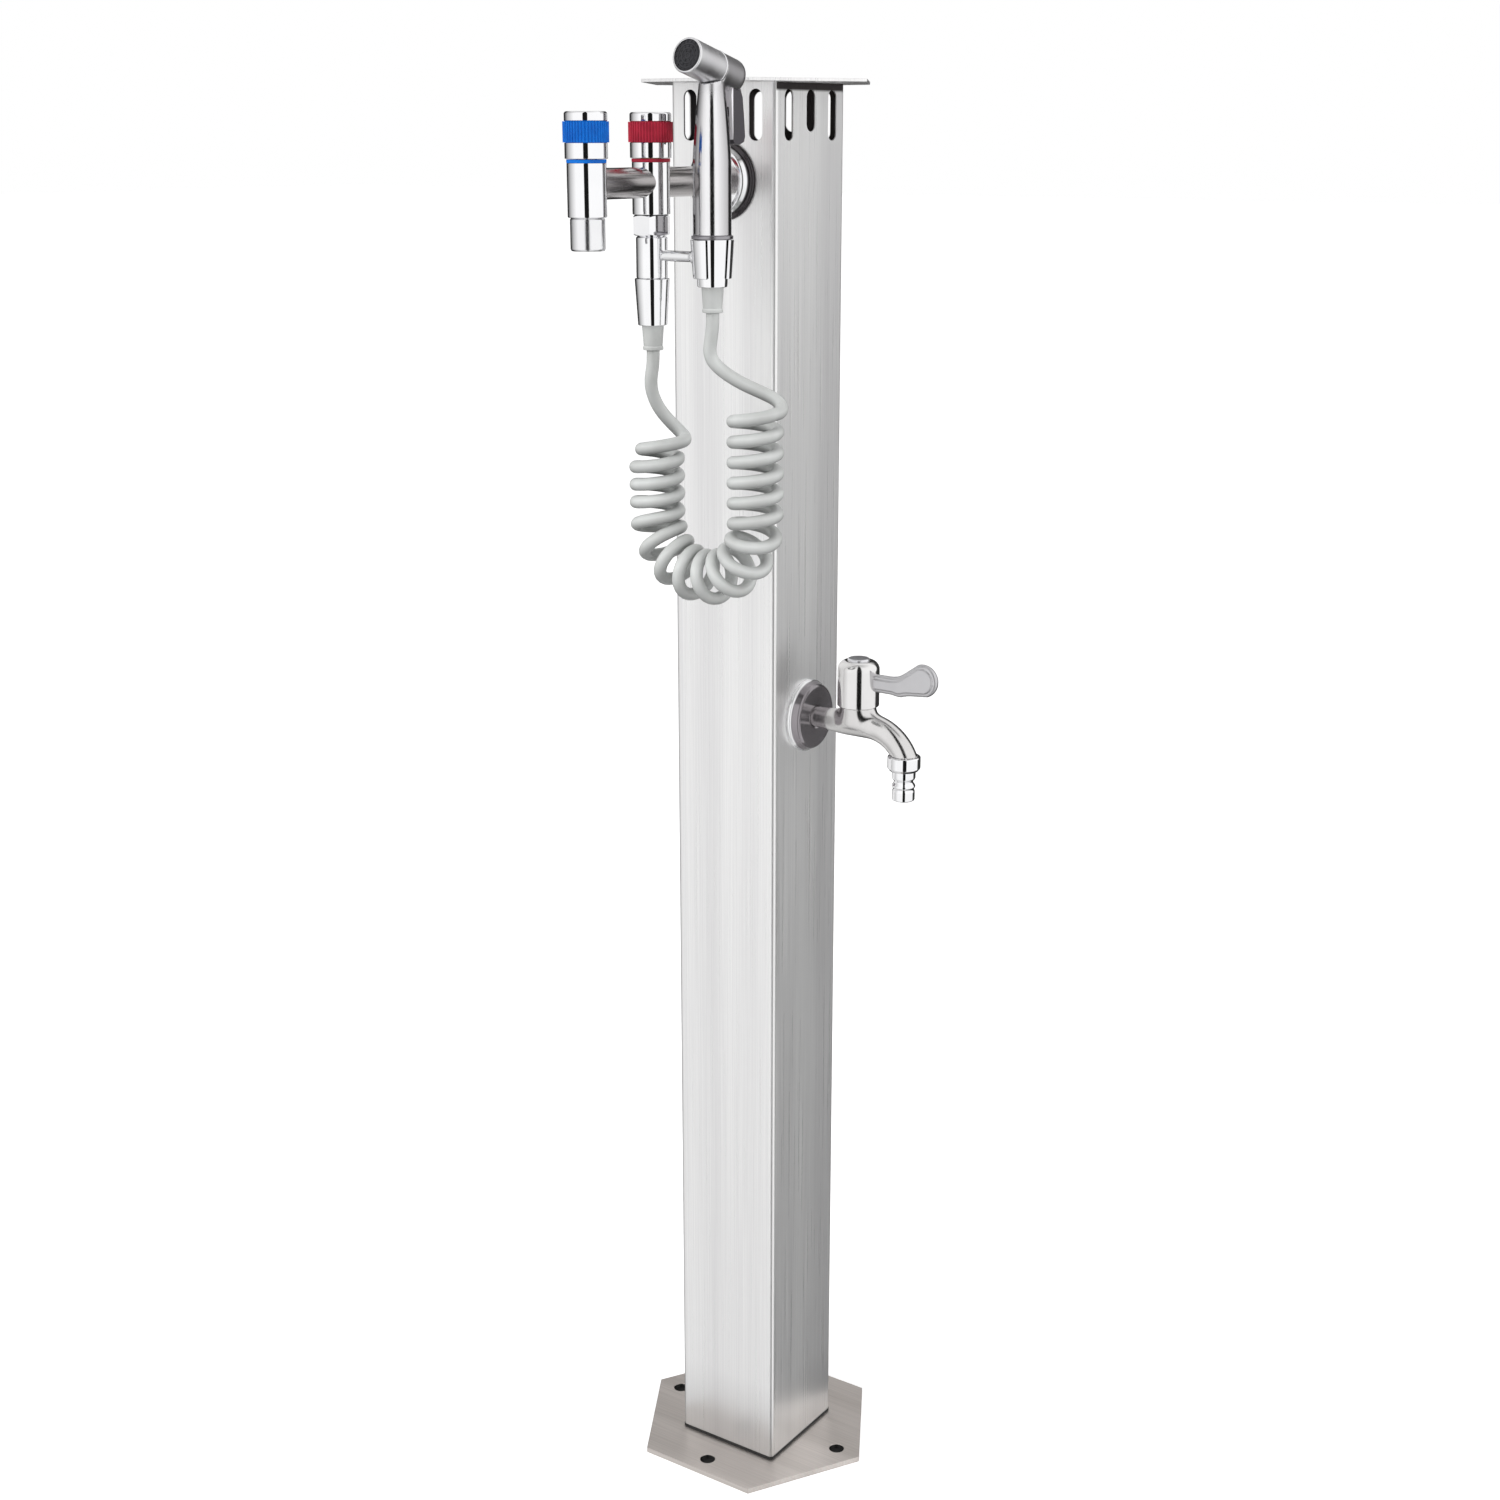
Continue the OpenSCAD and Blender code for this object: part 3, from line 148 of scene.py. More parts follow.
def spanned(mesh, rings, closed=True, seam=True):
    # faces between each ring and the next; a ring may be one point
    for a, b in zip(rings, rings[1:] + rings[:1] if closed else rings[1:]):
        for k in range(len(a) if seam else len(a) - 1):
            after = (k + 1) % len(a)
            corners = [a[k], a[after], b[after], b[k]]
            corners = [c for n, c in enumerate(corners) if c not in corners[:n]]
            if len(corners) > 2:
                mesh.faces.new(corners).smooth = True


def tubeAlong(route, radius, sides):
    def build(mesh):
        side, rings = Vector((1, 0, 0)), []
        for i, p in enumerate(route):
            ahead = (route[min(i + 1, len(route) - 1)] - route[max(i - 1, 0)]).normalized()
            side = (side - ahead * side.dot(ahead)).normalized()
            other = ahead.cross(side)
            rings.append([mesh.verts.new(p + radius * (math.cos(2 * math.pi * k / sides) * side
                + math.sin(2 * math.pi * k / sides) * other)) for k in range(sides)])
        spanned(mesh, rings, closed=False)
        mesh.faces.new(rings[0][::-1])
        mesh.faces.new(rings[-1])
    return build


route = hoseRoute(hose)
routeLength = sum((b - a).length for a, b in zip(route, route[1:]))
hosePiece = meshPiece("hose", tubeAlong(route, hose["diameter"] / 2 * mm, hose["sides"]))
print("hose made, length", round(routeLength, 4))


def pair(operation):
    return lambda self, other: self.maths(operation, self, other)


class Wire:  # one output of a node, with arithmetic
    def __init__(self, sheet, socket):
        self.sheet, self.socket = sheet, socket

    def maths(self, operation, *values):
        return self.sheet.node("ShaderNodeMath", {"operation": operation}, dict(enumerate(values)))

    __add__, __sub__, __mul__, __truediv__ = pair("ADD"), pair("SUBTRACT"), pair("MULTIPLY"), pair("DIVIDE")
    __radd__, __rmul__, __pow__ = __add__, __mul__, pair("POWER")
    __gt__, __lt__ = pair("GREATER_THAN"), pair("LESS_THAN")
    atLeast, atMost = pair("MAXIMUM"), pair("MINIMUM")

    def __rsub__(self, other):
        return self.maths("SUBTRACT", other, self)

    def __neg__(self):
        return self * -1

    def __abs__(self):
        return self.maths("ABSOLUTE", self)

    def clamped(self, low, high):
        return self.atLeast(low).atMost(high)


class Sheet:  # a node tree that is being filled
    def __init__(self, tree):
        self.tree = tree
        tree.nodes.clear()

    def node(self, kind, settings=None, values=None, output=0):
        made = self.tree.nodes.new(kind)
        for key, value in (settings or {}).items():
            setattr(made, key, value)
        for key, value in (values or {}).items():
            if isinstance(value, Wire):
                self.tree.links.new(value.socket, made.inputs[key])
            else:
                made.inputs[key].default_value = value
        return Wire(self, made.outputs[output]) if made.outputs else made

    def xyz(self, vector):
        return [self.node("ShaderNodeSeparateXYZ", values={0: vector}, output=k) for k in range(3)]

    def vector(self, *values):
        return self.node("ShaderNodeCombineXYZ", values=dict(enumerate(values)))


class Look(Sheet):  # a material
    def __init__(self, name):
        self.material = bpy.data.materials.new(name)
        self.material.use_nodes = True
        super().__init__(self.material.node_tree)

    def place(self, stretch=(1, 1, 1)):
        point = self.node("ShaderNodeTexCoord", output=3)
        return self.node("ShaderNodeMapping", values={0: point, 3: stretch})

    def noise(self, scale, detail=2, stretch=(1, 1, 1), rough=0.5):
        return self.node("ShaderNodeTexNoise", values={
            "Vector": self.place(stretch), "Scale": scale, "Detail": detail, "Roughness": rough})

    def between(self, value, low, high, start=0.0, end=1.0):
        return self.node("ShaderNodeMapRange", values={
            "Value": value, "From Min": low, "From Max": high, "To Min": start, "To Max": end})

    def rough(self, noise, ends):
        return self.between(noise, *noiseBand, *ends)

    def facing(self, direction):
        normal = self.node("ShaderNodeTexCoord", output=1)
        return self.node("ShaderNodeVectorMath", {"operation": "DOT_PRODUCT"}, {0: normal, 1: direction}, 1)

    def tint(self, factor, first, second, how="MIX"):
        first, second = (c if isinstance(c, Wire) else (*c, 1) for c in (first, second))
        return self.node("ShaderNodeMix", {"data_type": "RGBA", "blend_type": how},
            {0: factor, 6: first, 7: second}, 2)

    def dimmed(self, shade, share):
        return self.tint(1.0, shade, self.vector(share, share, share), "MULTIPLY")

    def bump(self, height, strength, distance):
        return self.node("ShaderNodeBump", values={
            "Height": height, "Strength": strength, "Distance": distance})

    def finish(self, values):
        shader = self.node("ShaderNodeBsdfPrincipled", values=values)
        self.node("ShaderNodeOutputMaterial", values={0: shader})
        return self.material


# the values that most of a noise lies between, and the narrower band of a cloudy one
noiseBand, cloudBand = (0.3, 0.7), (0.35, 0.65)

# brushed steel: long fine grain along one axis, with broad soft bands across it
steelGrain = {"fine": 900, "bands": 38, "fineShare": 0.45, "contrast": (0.36, 0.66)}
steelLooks = {
    "post_steel": {"light": (0.9, 0.9, 0.895), "dark": (0.72, 0.715, 0.72), "grain": (1, 1, 0.006),
        "rough": (0.26, 0.38), "metal": 0.8, "bump": 0.03},
    "foot_steel": {"light": (0.8, 0.745, 0.71), "dark": (0.6, 0.555, 0.52), "grain": (0.012, 1, 1),
        "rough": (0.34, 0.5)},
    "fastener_steel": {"light": (0.7, 0.7, 0.7), "dark": (0.5, 0.5, 0.5), "grain": (1, 1, 0.2),
        "rough": (0.25, 0.4)},
    "pipe_steel": {"light": (0.66, 0.66, 0.65), "dark": (0.5, 0.5, 0.49), "grain": (1, 1, 0.02),
        "rough": (0.3, 0.45)},
    "tube_steel": {"light": (0.62, 0.6, 0.59), "dark": (0.42, 0.4, 0.4), "grain": (1, 0.03, 1),
        "rough": (0.16, 0.26)},
}

# painted shade: the inside of the post and the strip under the lid on the right face are darkened, the foot
# is dimmed, metres
postShadows = {"footLow": 0.02, "footHigh": 0.065, "footShade": 0.84, "inner": (0.039, 0.0394),
    "rightFace": 0.0395, "lidLine": (0.9695, 0.971), "lidLow": 0.97495, "tone": (0.035, 0.03, 0.03)}


def postShadow(look, shade, s):
    # painted shade: dark inside the post, a dark strip under the lid on the right face, dimmer at the foot
    x, y, z = look.xyz(look.place())
    inside = look.between(abs(x).atLeast(abs(y)), *s["inner"], 1.0, 0.0)
    under = look.between(z, *s["lidLine"]) * (x > s["rightFace"])
    dim = look.between(z, s["footLow"], s["footHigh"], s["footShade"], 1.0)
    return look.tint(inside.atLeast(under) * (z < s["lidLow"]), look.dimmed(shade, dim), s["tone"])


# painted shade: the walls of the anchor holes are darkened, metres
holeShadows = {"alongX": 0.0715, "alongY": 0.065, "radius": 0.00558, "low": 0.0034,
    "tone": (0.02, 0.02, 0.02)}


def holeShadow(look, shade, s):
    # painted shade inside the anchor holes
    x, y, z = look.xyz(look.place())
    first = ((abs(x) - s["alongX"]) ** 2 + y * y) ** 0.5
    second = (x * x + (abs(y) - s["alongY"]) ** 2) ** 0.5
    return look.tint((first.atMost(second) < s["radius"]) * (z < s["low"]), shade, s["tone"])


def brushedSteel(name, s):
    look = Look(name)
    fine = look.noise(steelGrain["fine"], 3, s["grain"], 0.6)
    broad = look.noise(steelGrain["bands"], 2, tuple(g if g == 1 else g * 2 for g in s["grain"]))
    share = steelGrain["fineShare"]
    shade = look.between(fine * share + broad * (1 - share), *steelGrain["contrast"])
    shade = look.tint(shade, s["dark"], s["light"])
    if name == "post_steel":
        shade = postShadow(look, shade, postShadows)
    if name == "foot_steel":
        shade = holeShadow(look, shade, holeShadows)
    return look.finish({"Base Color": shade, "Metallic": s.get("metal", 1.0),
        "Roughness": look.rough(fine, s["rough"]), "Normal": look.bump(fine, s.get("bump", 0.12), 0.00008)})


# polished metal: almost a mirror, with faint wiping marks
polishGrain = {"cloud": 60, "marks": 420, "marksShare": 0.6}
polishLooks = {
    "chrome": {"light": (0.93, 0.93, 0.94), "dark": (0.86, 0.86, 0.875), "rough": (0.025, 0.07)},
    "brass": {"light": (0.8, 0.62, 0.3), "dark": (0.62, 0.45, 0.2), "rough": (0.2, 0.34)},
    "cap_steel": {"light": (0.84, 0.84, 0.86), "dark": (0.76, 0.76, 0.79), "rough": (0.3, 0.38)},
    "sleeve_chrome": {"light": (0.9, 0.9, 0.91), "dark": (0.74, 0.73, 0.75), "rough": (0.3, 0.4)},
    "tap_chrome": {"light": (0.84, 0.83, 0.825), "dark": (0.72, 0.71, 0.705), "rough": (0.09, 0.14)},
    "cast_chrome": {"light": (0.76, 0.75, 0.745), "dark": (0.62, 0.61, 0.605), "rough": (0.13, 0.2)},
    "lever_chrome": {"light": (0.66, 0.655, 0.67), "dark": (0.55, 0.545, 0.56), "rough": (0.32, 0.42)},
    "collar_grey": {"light": (0.42, 0.41, 0.43), "dark": (0.3, 0.29, 0.31), "rough": (0.26, 0.36)},
    "grip_chrome": {"light": (0.88, 0.875, 0.885), "dark": (0.8, 0.795, 0.81), "rough": (0.11, 0.16),
        "flank": (-0.827, -0.562, 0), "flankTone": (0.36, 0.35, 0.36), "satin": (0.962, 0.97),
        "satinRough": 0.2},
    "nozzle_chrome": {"light": (0.9, 0.9, 0.91), "dark": (0.8, 0.8, 0.815), "rough": (0.17, 0.24)},
}


def polished(name, s):
    look = Look(name)
    cloud = look.noise(polishGrain["cloud"], 3)
    marks = look.noise(polishGrain["marks"], 4, (1, 1, 0.25), 0.65)
    tone = look.tint(cloud, s["dark"], s["light"])
    share = polishGrain["marksShare"]
    rough = look.between(marks * share + cloud * (1 - share), *cloudBand, *s["rough"])
    if "satin" in s:  # satin above a height in metres
        rough = rough + look.between(look.xyz(look.place())[2], *s["satin"], 0.0, s["satinRough"])
    if "flank" in s:  # painted shade: darker towards both sides
        tone = look.tint(look.between(abs(look.facing(s["flank"])), 0.3, 0.95), tone, s["flankTone"])
    return look.finish({"Base Color": tone, "Metallic": 1.0, "Roughness": rough})


# plastics, rubber and ceramic
softLooks = {
    "blue_plastic": {"base": (0.0, 0.14, 0.56), "shade": (0.0, 0.095, 0.43), "rough": (0.4, 0.5),
        "gloss": 0.2, "grain": 700},
    "red_plastic": {"base": (0.44, 0.018, 0.045), "shade": (0.27, 0.01, 0.028), "rough": (0.36, 0.46),
        "gloss": 0.25, "grain": 700},
    "ceramic": {"base": (0.86, 0.86, 0.84), "shade": (0.78, 0.77, 0.75), "rough": (0.2, 0.3), "grain": 500},
    "hose_plastic": {"base": (0.6, 0.615, 0.605), "shade": (0.5, 0.51, 0.5), "rough": (0.38, 0.5),
        "coat": 0.12, "grain": 260, "under": 0.42},
    "dark_plastic": {"base": (0.135, 0.125, 0.14), "shade": (0.09, 0.085, 0.096), "rough": (0.35, 0.5),
        "grain": 900},
    "face_rubber": {"base": (0.02, 0.02, 0.024), "shade": (0.012, 0.012, 0.014), "rough": (0.45, 0.6),
        "grain": 800},
    "gasket_rubber": {"base": (0.03, 0.03, 0.03), "shade": (0.015, 0.015, 0.015), "rough": (0.55, 0.7),
        "grain": 600},
}


def moulded(name, s):
    look = Look(name)
    cloud = look.noise(s["grain"] / 8, 3)
    grain = look.noise(s["grain"], 3, rough=0.6)
    tone = look.tint(look.between(cloud, *cloudBand), s["shade"], s["base"])
    if "under" in s:  # painted shade: darker where it faces down
        tone = look.dimmed(tone, look.between(look.facing((0, 0, 1)), -0.7, 0.35, s["under"], 1.0))
    return look.finish({"Base Color": tone, "Roughness": look.rough(grain, s["rough"]),
        "Coat Weight": s.get("coat", 0.0), "Coat Roughness": 0.15,
        "Specular IOR Level": s.get("gloss", 0.5), "Normal": look.bump(grain, 0.1, 0.0001)})


looks = {}
for table, make in ((steelLooks, brushedSteel), (polishLooks, polished), (softLooks, moulded)):
    for name, settings in table.items():
        looks[name] = make(name, settings)

# trigger: dark cheeks, and a painted highlight, a light strip down the edge that faces the grip, metres
triggerLook = {"paintedEdgeHighlight": (0.85, 0.83, 0.86), "cheek": (0.045, 0.04, 0.048), "edge": (-0.1017, -0.10146),
    "rough": (0.36, 0.5), "grain": 900}


def highlightedEdgePlastic(s):
    look = Look("trigger_plastic")
    grain = look.noise(s["grain"], 3)
    # painted highlight: the edge that faces the grip is light
    paintedEdgeHighlight = look.between(look.xyz(look.place())[1], *s["edge"], 1.0, 0.0)
    shade = look.tint(paintedEdgeHighlight, s["cheek"], s["paintedEdgeHighlight"])
    return look.finish({"Base Color": shade, "Roughness": look.rough(grain, s["rough"]),
        "Normal": look.bump(grain, 0.1, 0.0001)})


looks["trigger_plastic"] = highlightedEdgePlastic(triggerLook)

# wall covers: painted shadow, a dark line against the wall on the front one, and a painted dark reflection
# over the face of the side one, metres
coverTones = (0.82, 0.82, 0.83), (0.92, 0.92, 0.93)
coverLooks = {
    "front_cover_steel": {"wall": (0.0438, 0.0444), "tone": (0.06, 0.055, 0.058), "metal": 1.0,
        "rough": (0.08, 0.16)},
    "side_cover_steel": {"face": (0.0234, 0.0241), "height": 0.5645, "tone": (0.3, 0.28, 0.295),
        "metal": 0.72, "rough": (0.08, 0.16)},
}


def coverSteel(name, s):
    look = Look(name)
    x, y, z = look.xyz(look.place())
    # painted shadow at the front cover's rim, painted dark reflection on the side cover's face
    if "wall" in s:
        dark = look.between(-y, *s["wall"], 1.0, 0.0)
    else:
        dark = look.between((y * y + (z - s["height"]) ** 2) ** 0.5, *s["face"], 1.0, 0.0)
    cloud = look.noise(polishGrain["cloud"], 3)
    tone = look.tint(cloud, *coverTones)
    return look.finish({"Base Color": look.tint(dark, tone, s["tone"]), "Metallic": s["metal"],
        "Roughness": look.between(cloud, *cloudBand, *s["rough"])})


for name, settings in coverLooks.items():
    looks[name] = coverSteel(name, settings)

for part in frame["record"]["subparts"]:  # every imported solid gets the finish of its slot
    materials = frame["nodes"][part["node"]].data.materials
    materials.clear()
    materials.append(looks[part["material_slot"]])
print("materials made,", len(looks))

# studio: bright tent, a dark gap where the camera stands, a dark side behind it, degrees
studio = {
    "bright": 1.02, "level": 1.09, "tilt": 0.005, "most": 1.06,
    "gapMiddle": -54.6, "gapHalf": 13, "gapShade": 0.01,
    "darkStart": 57, "darkTilt": 0.55, "darkEnd": 176, "edge": 3, "greyEdge": 16, "darkShade": 0.04,
    "skyStart": 24, "skyEnd": 48, "topStart": 50, "topEnd": 80, "topShade": 0.62,
    "floorSize": 60, "floorShade": (0.94, 0.94, 0.94), "floorGlow": 0.42,
    "lamp": {"place": (-0.9, -1.5, 2.2), "aim": (0.02, -0.05, 0.55), "size": 1.4, "power": 26},
    "fill": {"place": (1.7, 0.1, 1.1), "aim": (0.02, 0, 0.5), "size": 1.6, "power": 5},
    "flankDark": -172, "flankLight": -118, "flankShade": 0.4, "underPlate": 0.0775,
}


def addStudio(s):
    scene = bpy.context.scene
    scene.view_settings.view_transform = "Standard"
    world = bpy.data.worlds.new("studio")
    scene.world = world
    world.use_nodes = True
    sky = Sheet(world.node_tree)
    direction = sky.node("ShaderNodeTexCoord", output=0)
    x, y, z = sky.xyz(direction)
    azimuth = x.maths("ARCTAN2", y, x) * (180 / math.pi)
    height = z.maths("ARCSINE", z.clamped(-1, 1)) * (180 / math.pi)

    def ramp(value, start, end):
        return ((value - start) / (end - start)).clamped(0, 1)

    gap = 1 - ramp(abs(azimuth - s["gapMiddle"]), s["gapHalf"] - 1, s["gapHalf"] + 1)
    # the dark side starts further round the higher one looks
    sideStart = ramp(azimuth - s["darkTilt"] * height, s["darkStart"] - s["edge"],
        s["darkStart"] + s["edge"])
    around = azimuth + 360 * (1 - ramp(azimuth, -91, -90))  # the left flank counted past 180 degrees
    sideEnd = 1 - ramp(around, s["darkEnd"] - s["edge"], s["darkEnd"] + s["greyEdge"])
    side = sideStart.atLeast(around > 180) * sideEnd
    side = side * (1 - ramp(height, s["skyStart"], s["skyEnd"]))
    light = s["bright"] + (s["topShade"] - s["bright"]) * ramp(height, s["topStart"], s["topEnd"])
    flank = ramp(azimuth, s["flankDark"], s["flankLight"]).atLeast(azimuth > 0)
    light = light * (s["flankShade"] + (1 - s["flankShade"]) * flank)
    light = light * (s["level"] + s["tilt"] * height).clamped(0, s["most"])  # dimmer the lower one looks
    light = light * (1 - side) + s["darkShade"] * side
    light = light * (1 - gap) + s["gapShade"] * gap
    seen = sky.node("ShaderNodeLightPath", output=0)
    shader = sky.node("ShaderNodeBackground", values={0: (1, 1, 1, 1), 1: seen + (1 - seen) * light})
    sky.node("ShaderNodeOutputWorld", values={0: shader})


def addLamp(s):
    data = bpy.data.lights.new("softbox", "AREA")
    data.energy, data.size = s["power"], s["size"]
    lamp = bpy.data.objects.new("softbox", data)
    lamp.location = s["place"]
    lamp.rotation_euler = (Vector(s["aim"]) - lamp.location).to_track_quat("-Z", "Y").to_euler()
    lamp.visible_glossy = False
    bpy.context.scene.collection.objects.link(lamp)


def addFloor(s):
    def build(mesh):
        half = s["floorSize"] / 2
        corners = ((-half, -half, 0), (half, -half, 0), (half, half, 0), (-half, half, 0))
        mesh.faces.new([mesh.verts.new(corner) for corner in corners])
    floor = meshPiece("studio_floor", build)
    look = Look("floor_paper")
    tone = look.tint(look.noise(2, 2), s["floorShade"], tuple(1.02 * c for c in s["floorShade"]))
    # painted shadow: inside the plate's outline the floor is dark and does not glow
    plateShadow = look.node("ShaderNodeVectorMath", {"operation": "LENGTH"}, {0: look.place()}, 1)
    plateShadow = plateShadow < s["underPlate"]
    glow = look.tint(plateShadow, (1, 1, 1), (0, 0, 0))
    tone = look.tint(plateShadow, tone, (0.02, 0.02, 0.02))
    floor.data.materials.append(look.finish({"Base Color": tone, "Roughness": 0.8, "Emission Color": glow,
        "Emission Strength": s["floorGlow"]}))
    floor.visible_glossy = False


addStudio(studio)
addLamp(studio["lamp"])
addLamp(studio["fill"])
addFloor(studio)
print("studio made")


# shared ways to make pieces
def rounded(points, radius, steps=3):
    # a corner that is off the axis becomes a small arc
    out = []
    for i, p in enumerate(points):
        here = Vector(p)
        before, after = Vector(points[i - 1]), Vector(points[(i + 1) % len(points)])
        a, b = before - here, after - here
        if here.x < 0.01 or a.length < 1e-6 or b.length < 1e-6:
            out.append(here)
            continue
        r = min(radius, 0.42 * a.length, 0.42 * b.length)
        start, end = here + a.normalized() * r, here + b.normalized() * r
        for k in range(steps + 1):
            t = k / steps
            out.append(start * (1 - t) ** 2 + here * (2 * t * (1 - t)) + end * t ** 2)
    return out


def turned(profile, place=Matrix(), segments=96, sweep=360.0, start=0.0):
    # a closed outline of (radius, height) in millimetres, turned round the Z axis
    def build(mesh):
        full = sweep == 360
        count = segments if full else segments + 1
        rings = []
        for radius, height in profile:
            if radius < 0.01:
                rings.append([mesh.verts.new(place @ Vector((0, 0, height)) * mm)] * count)
                continue
            angles = [math.radians(start + sweep * k / segments) for k in range(count)]
            points = [place @ Vector((radius * math.cos(a), radius * math.sin(a), height)) for a in angles]
            rings.append([mesh.verts.new(point * mm) for point in points])
        spanned(mesh, rings, seam=full)
        if not full:
            mesh.faces.new([ring[0] for ring in rings])
            mesh.faces.new([ring[-1] for ring in rings][::-1])
        bmesh.ops.recalc_face_normals(mesh, faces=mesh.faces)
    return build


def smoothed(piece, angle=38):
    # smooth shading between small faces, flat faces kept flat by weighted normals
    for face in piece.data.polygons:
        face.use_smooth = True
    piece.data.set_sharp_from_angle(angle=math.radians(angle))
    weight = piece.modifiers.new("weight", "WEIGHTED_NORMAL")
    weight.keep_sharp = True
    return baked(piece)


def baked(piece):
    # modifiers become plain mesh
    depsgraph = bpy.context.evaluated_depsgraph_get()
    made = bpy.data.meshes.new_from_object(piece.evaluated_get(depsgraph))
    piece.modifiers.clear()
    old, piece.data = piece.data, made
    bpy.data.meshes.remove(old)
    made.name = piece.name
    return piece


def dress(piece, body, slot, nodes=(), look=None):
    piece.data.materials.clear()
    piece.data.materials.append(looks[look or slot])
    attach(piece, body)
    if nodes:
        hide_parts(*nodes)
    return piece


def turnedPiece(name, outline, radius, body, slot, nodes=(), place=Matrix(), look=None, **more):
    piece = meshPiece(name, turned(rounded(outline, radius), place, **more))
    return dress(smoothed(piece), body, slot, nodes, look)


def softened(node, width, body, slot, angle=35, look=None):
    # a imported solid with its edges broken: merged, flattened, bevelled
    source = frame["nodes"][node]

    def build(mesh):
        mesh.from_mesh(source.data)
        bmesh.ops.remove_doubles(mesh, verts=mesh.verts, dist=2e-6)
        bmesh.ops.dissolve_limit(mesh, angle_limit=math.radians(0.3), verts=mesh.verts, edges=mesh.edges)
    piece = meshPiece(node + "_finished", build)
    bevel = piece.modifiers.new("bevel", "BEVEL")
    bevel.width, bevel.segments, bevel.limit_method = width * mm, 2, "ANGLE"
    bevel.angle_limit = math.radians(angle)
    return dress(smoothed(baked(piece)), body, slot, (node,), look)


def at(x, y, z=0.0):
    return Matrix.Translation((x, y, z))


# valves: bodies, tube, nozzle, knobs, millimetres
valves = {"redY": -115, "blueY": -177, "low": 897.3, "top": 928, "bodyR": 11.5, "tubeZ": 916, "tubeR": 9,
    "tubeStart": -18, "joined": 6.5, "nozzleLow": 878.3, "knobZ": 930.3, "knobR": 12.5, "ringLow": 939.3,
    "ringTop": 951.1, "capTop": 956.6, "indexR": (9, 11.65), "indexH": 2}


def addValves(v):
    red, blue = at(0, v["redY"]), at(0, v["blueY"])
    body = [(0, v["low"]), (v["bodyR"], v["low"]), (v["bodyR"], v["top"]), (0, v["top"])]
    turnedPiece("valve_body_rear", body, 0.5, "standpipe", "chrome", ("valve_body",), red)
    turnedPiece("valve_body_front", body, 0.5, "standpipe", "chrome", (), blue)
    for name, start, end in (("supply_tube_rear", v["tubeStart"], v["redY"] + v["joined"]),
            ("supply_tube_front", v["redY"] - v["joined"], v["blueY"] + v["joined"])):
        along = at(0, start, v["tubeZ"]) @ Matrix.Rotation(math.radians(90), 4, "X")
        turnedPiece(name, [(0, 0), (v["tubeR"], 0), (v["tubeR"], start - end), (0, start - end)], 0.3,
            "standpipe", "chrome", (), along, "tube_steel")
    low, high = v["nozzleLow"], v["low"]
    nozzle = [(7.5, low), (9.5, low), (10.25, low + 1.1), (10.25, high - 1.1), (9.5, high), (0, high),
        (0, low + 6), (7.5, low + 6)]
    turnedPiece("nozzle", nozzle, 0.25, "standpipe", "chrome", ("plain_nozzle",), blue, "nozzle_chrome")
    k = v["knobR"]
    web = v["ringLow"] + 1.9
    handle = [(0, web), (9.5, web), (9.5, v["knobZ"]), (k, v["knobZ"]), (k, v["ringLow"] - 0.05),
        (k - 0.7, v["ringLow"] - 0.05), (k - 0.7, v["ringTop"]), (0, v["ringTop"])]
    cap = [(0, v["ringTop"]), (k, v["ringTop"]), (k, v["capTop"] - 0.9), (k - 0.9, v["capTop"]),
        (0, v["capTop"] - 0.1)]
    (inner, outer), low, high = v["indexR"], v["top"], v["top"] + v["indexH"]
    index = [(inner, low), (outer, low), (outer, high), (inner, high)]
    for hue, place in (("blue", blue), ("red", red)):
        turnedPiece(hue + "_knob_shell", handle, 0.3, hue + "_knob", "chrome", (hue + "_handle",), place)
        turnedPiece(hue + "_knob_cap", cap, 0.6, hue + "_knob", "chrome", (hue + "_cap",), place)
        turnedPiece(hue + "_index", index, 0.25, "standpipe", hue + "_plastic", (hue + "_index_ring",),
            place)


addValves(valves)

# holder: nut, collar with arm, open clip, cone nuts and hose sleeves, millimetres
holder = {"x": 45, "y": -115, "nutFlats": 21, "nutLow": 885, "nutTop": 897, "collarR": 9.65,
    "collarLow": 859.5, "armR": 3.2, "armZ": 873.25, "clipWall": 2, "clipLow": 861, "clipTop": 883.7,
    "mouth": -35, "mouthHalf": 38, "coneTop": 10.8, "coneLow": 9, "coneLength": 28, "coneZ": 884,
    "sleeveTop": 6.7, "sleeveLow": 5.7, "sleeveLength": 15}


def hexagonNut(flats, low, top, bore, place, sides=96, turnedTo=0.97, slope=0.55):
    # hexagon prism, its corners turned off above and below down to a share of its flats
    def build(mesh):
        inner, rings = flats / 2, []
        angles = [2 * math.pi * k / sides for k in range(sides)]
        reach = [inner / math.cos((a % (math.pi / 3)) - math.pi / 6) for a in angles]
        flat = inner * turnedTo
        for far, z in ((bore, low), (flat, low), (None, low), (None, top), (flat, top), (bore, top)):
            ring = []
            for a, r in zip(angles, reach):
                r = far or r
                drop = max(0, r - flat) * slope
                height = z + drop if z == low else z - drop
                point = place @ Vector((r * math.cos(a), r * math.sin(a), height))
                ring.append(mesh.verts.new(point * mm))
            rings.append(ring)
        spanned(mesh, rings)
        bmesh.ops.recalc_face_normals(mesh, faces=mesh.faces)
    return build


